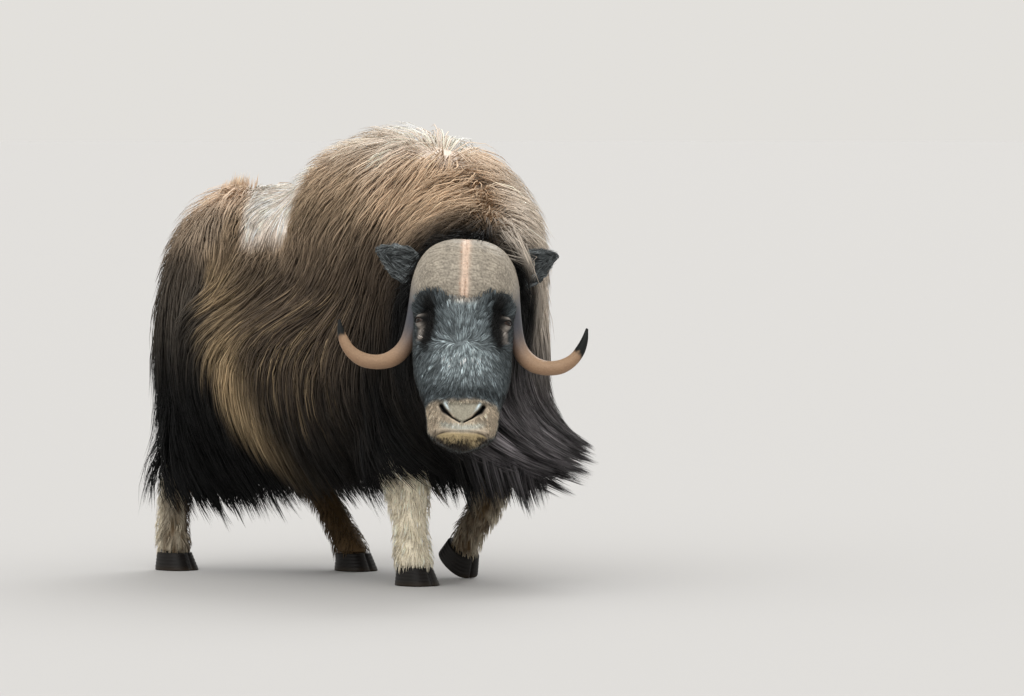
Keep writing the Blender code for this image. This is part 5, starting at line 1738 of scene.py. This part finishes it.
class MUSKOX_OT_face(bpy.types.Operator):
    """Lay the short hair of the face, longer on the brows"""

    bl_idname = "muskox.face"
    bl_label = "Face"

    def execute(self, context):
        comb = Comb(palette_of(context.scene))
        width = context.scene.muskox_sizes.face_width
        short = {
            "region": FACE, "lie_of": face_lie, "unwrap": unwrap_head, "slot": "face_fur", "width": width,
            "sections": 3, "every": 9, "pull": 0.5, "sway": 0.001, "twist": 0.5, "uneven": 0.34,
            "streaks": 0.30, "hold": ALWAYS_HELD, "sink": 0.003, "lift": 0.004, "root": 0.70, "tip": 1.10,
        }
        brow_hair = {**short, "length": even(0.032), "rise": even(0.018), "lift": 0.008}
        muzzle_hair = {
            **short, "length": even(0.016), "rise": even(0.006), "width": width * 0.7, "uneven": 0.24,
            "streaks": 0.20,
        }
        chin_hair = {**short, "length": even(0.017), "rise": even(0.005)}

        def bare(local):
            """Bare skin under the eyes, between the lids, on nose and lips and round the nostrils."""
            a, b, c = local.T
            side = np.abs(b)
            made = np.zeros(len(local), bool)
            for sign in (1, -1):
                s, t, height, far = eye_spot(local, sign)
                strip = (np.abs(s - 0.002) < 0.011) & (np.abs(t + 0.030) < 0.036)
                made |= (strip | (far < 0.026)) & (height > -0.02)
            away, half_width, _ = nostril_place(local)
            pad_width, pad_level, pad_spread, pad_top = NOSE_PAD
            pad = (side < pad_width + 0.003 + (c - pad_level) * pad_spread) & (c < pad_top)
            lip = (np.abs(mouth_gap(local) - 0.008) < 0.010) & (side < 0.075)
            return made | ((pad | lip | (away < 1.2 * half_width)) & (a > 0.03))

        def face(p, n):
            local = to_head(p)
            a, b, c = local.T
            whorl = 1.8 * bell(c - WHORL_LEVEL, 0.020) * bell(b, 0.08)
            within = (c > FACE_LEVELS[0]) * (c < FACE_LEVELS[1])
            return smoothstep(-0.08, 0.00, a) * within * ~bare(local) * (1 + whorl)

        def brow(p, n):
            a, b, c = to_head(p).T
            arch = bell(c - 0.042, 0.016) * bell(np.abs(b) - 0.095, 0.028)
            return arch * (np.abs(b) < 0.134) * (a > 0.04) * (c > 0.020)

        def muzzle(p, n):
            local = to_head(p)
            return (local[:, 2] < -0.244) & (mouth_gap(local) > 0) & ~bare(local) & (local[:, 0] > 0.0)

        def chin(p, n):
            local = to_head(p)
            a, _, c = local.T
            return ((mouth_gap(local) < -0.004) | ((a < 0.03) & (c < -0.22))) & (c < 0)

        def clear(p):
            """Less hair towards the eyes."""
            local = to_head(p)
            local[:, 1] = np.abs(local[:, 1])
            to_eye = np.linalg.norm(local - EYE_PLACE - (0.01, 0.008, 0), axis=1)
            return 0.35 + 0.65 * smoothstep(0.026, 0.055, to_eye)

        def length(p):
            c = to_head(p)[:, 2]
            full = 0.027 - 0.006 * smoothstep(-0.20, -0.26, c) - 0.013 * smoothstep(0.02, 0.05, c)
            return full * clear(p)

        def rise(p):
            return 0.0065 * clear(p)

        lay(comb, context, "coat_face", face, length=length, rise=rise, **short)
        lay(comb, context, "coat_brow", brow, **brow_hair)
        lay(comb, context, "coat_muzzle", muzzle, **muzzle_hair)
        lay(comb, context, "coat_chin", chin, **chin_hair)
        return {"FINISHED"}


class MUSKOX_OT_ears(bpy.types.Operator):
    """Lay the dark hair of the ears"""

    bl_idname = "muskox.ears"
    bl_label = "Ears"

    def execute(self, context):
        comb = Comb(palette_of(context.scene))
        lay(
            comb, context, "coat_ears", everywhere, region=EAR, lie_of=ear_lie, unwrap=unwrap_ears,
            slot="ear_fur", width=EAR_TUFT, sections=3, every=8, pull=0.5, sway=0.001, hold=ALWAYS_HELD,
            sink=0.003, length=even(0.034), rise=even(0.007), uneven=0.45, streaks=0.3, tip=1.3,
        )
        return {"FINISHED"}


class MUSKOX_OT_legs(bpy.types.Operator):
    """Lay the pale wool of the legs, down over the tops of the hooves"""

    bl_idname = "muskox.legs"
    bl_label = "Legs"

    def execute(self, context):
        comb = Comb(palette_of(context.scene))

        def length(p):
            return 0.036 + 0.02 * smoothstep(0.25, 0.42, p[:, 2]) + 0.014 * smoothstep(0.12, 0.06, p[:, 2])

        lay(
            comb, context, "coat_legs", everywhere, region=LEG, lie_of=leg_lie, unwrap=unwrap_legs,
            slot="leg_fur", width=LEG_TUFT, sections=3, every=7, pull=0.35, sway=0.001, hold=NEVER_HELD,
            sink=0.003, length=length, rise=even(0.013), lift=0.008, uneven=0.12, streaks=0.10, root=0.80,
        )
        return {"FINISHED"}


class MUSKOX_OT_stage(bpy.types.Operator):
    """Set the floor, the soft lights and the camera"""

    bl_idname = "muskox.stage"
    bl_label = "Stage"

    def execute(self, context):
        scene = context.scene
        palette = palette_of(scene)
        bpy.ops.mesh.primitive_circle_add(
            vertices=96, radius=FLOOR_RADIUS, fill_type="NGON", location=(0, 0, 0)
        )
        floor = context.active_object
        floor.name = "floor"
        material = bpy.data.materials.new("floor")
        material.use_nodes = True
        shader = material.node_tree.nodes["Principled BSDF"]
        shader.inputs["Base Color"].default_value = (*palette["floor"], 1)
        shader.inputs["Roughness"].default_value = 0.9
        floor.data.materials.append(material)
        world = bpy.data.worlds.new("studio")
        world.use_nodes = True
        nodes = world.node_tree.nodes
        links = world.node_tree.links
        place = nodes.new("ShaderNodeTexCoord")
        parts = nodes.new("ShaderNodeSeparateXYZ")
        sky = nodes.new("ShaderNodeMapRange")
        sky.inputs["From Max"].default_value = 0.9
        sky.inputs["To Min"].default_value = SKY_BRIGHTNESS[0]
        sky.inputs["To Max"].default_value = SKY_BRIGHTNESS[1]
        links.new(place.outputs["Generated"], parts.inputs["Vector"])
        links.new(parts.outputs["Z"], sky.inputs["Value"])
        links.new(sky.outputs["Result"], nodes["Background"].inputs["Strength"])
        nodes["Background"].inputs["Color"].default_value = (*SKY_COLOUR, 1)
        scene.world = world
        scene.view_settings.view_transform = "Standard"
        for name, place, spread, power in STUDIO_LIGHTS:
            light = bpy.data.lights.new(name, "SUN")
            light.angle = math.radians(spread)
            light.energy = power
            lamp = bpy.data.objects.new(name, light)
            lamp.rotation_euler = Vector(place).to_track_quat("Z", "Y").to_euler()
            lamp.visible_camera = False
            scene.collection.objects.link(lamp)
        sine = math.sin(CAMERA_AZIMUTH)
        cosine = math.cos(CAMERA_AZIMUTH)
        flat = math.cos(CAMERA_ELEVATION)
        back = Vector((sine * flat, -cosine * flat, math.sin(CAMERA_ELEVATION)))
        right = Vector((cosine, sine, 0))
        up = back.cross(right)
        aim = right * ((IMAGE[0] / 2 - ORIGIN_PIXEL[0]) / PIXELS_A_METRE)
        aim += up * ((ORIGIN_PIXEL[1] - IMAGE[1] / 2) / PIXELS_A_METRE)
        data = bpy.data.cameras.new("camera")
        data.sensor_width = SENSOR
        data.lens = PIXELS_A_METRE * CAMERA_DISTANCE * SENSOR / IMAGE[0]
        data.clip_end = FARTHEST
        camera = bpy.data.objects.new("camera", data)
        camera.location = aim + back * CAMERA_DISTANCE + SHIFT
        camera.rotation_euler = (-back).to_track_quat("-Z", "Y").to_euler()
        scene.collection.objects.link(camera)
        scene.camera = camera
        return {"FINISHED"}


FLOOR_RADIUS = 220
FARTHEST = 1000
# The sky's colour, and its brightness at the horizon and overhead
SKY_COLOUR = (1.0, 0.977, 0.936)
SKY_BRIGHTNESS = (0.76, 0.96)
# Name, where it shines from, its spread in degrees and its power
STUDIO_LIGHTS = (
    ("key", (0.45, -0.80, 0.80), 60, 1.1),
    ("rim", (-0.5, 0.9, 0.9), 35, 1.1),
)


class MUSKOX_PT_panel(bpy.types.Panel):
    """The pieces in the order in which they are built"""

    bl_idname = "MUSKOX_PT_panel"
    bl_label = "Muskox"
    bl_space_type = "VIEW_3D"
    bl_region_type = "UI"
    bl_category = "Muskox"

    def draw(self, context):
        for group in (context.scene.muskox_sizes, context.scene.muskox_colours):
            for name in group.__annotations__:
                self.layout.prop(group, name)
        for operator in PIECES:
            self.layout.operator(operator.bl_idname)


PIECES = (
    MUSKOX_OT_skin,
    MUSKOX_OT_horns,
    MUSKOX_OT_eyes,
    MUSKOX_OT_hooves,
    MUSKOX_OT_back,
    MUSKOX_OT_flanks,
    MUSKOX_OT_skirt,
    MUSKOX_OT_beard,
    MUSKOX_OT_face,
    MUSKOX_OT_ears,
    MUSKOX_OT_legs,
    MUSKOX_OT_stage,
)
CLASSES = (MuskoxColours, MuskoxSizes, *PIECES, MUSKOX_PT_panel)


def register():
    for kind in CLASSES:
        bpy.utils.register_class(kind)
    bpy.types.Scene.muskox_colours = bpy.props.PointerProperty(type=MuskoxColours)
    bpy.types.Scene.muskox_sizes = bpy.props.PointerProperty(type=MuskoxSizes)


def unregister():
    del bpy.types.Scene.muskox_sizes
    del bpy.types.Scene.muskox_colours
    for kind in reversed(CLASSES):
        bpy.utils.unregister_class(kind)


def main():
    register()
    for operator in PIECES:
        family, piece = operator.bl_idname.split(".")
        getattr(getattr(bpy.ops, family), piece)()


if __name__ == "__main__":
    main()
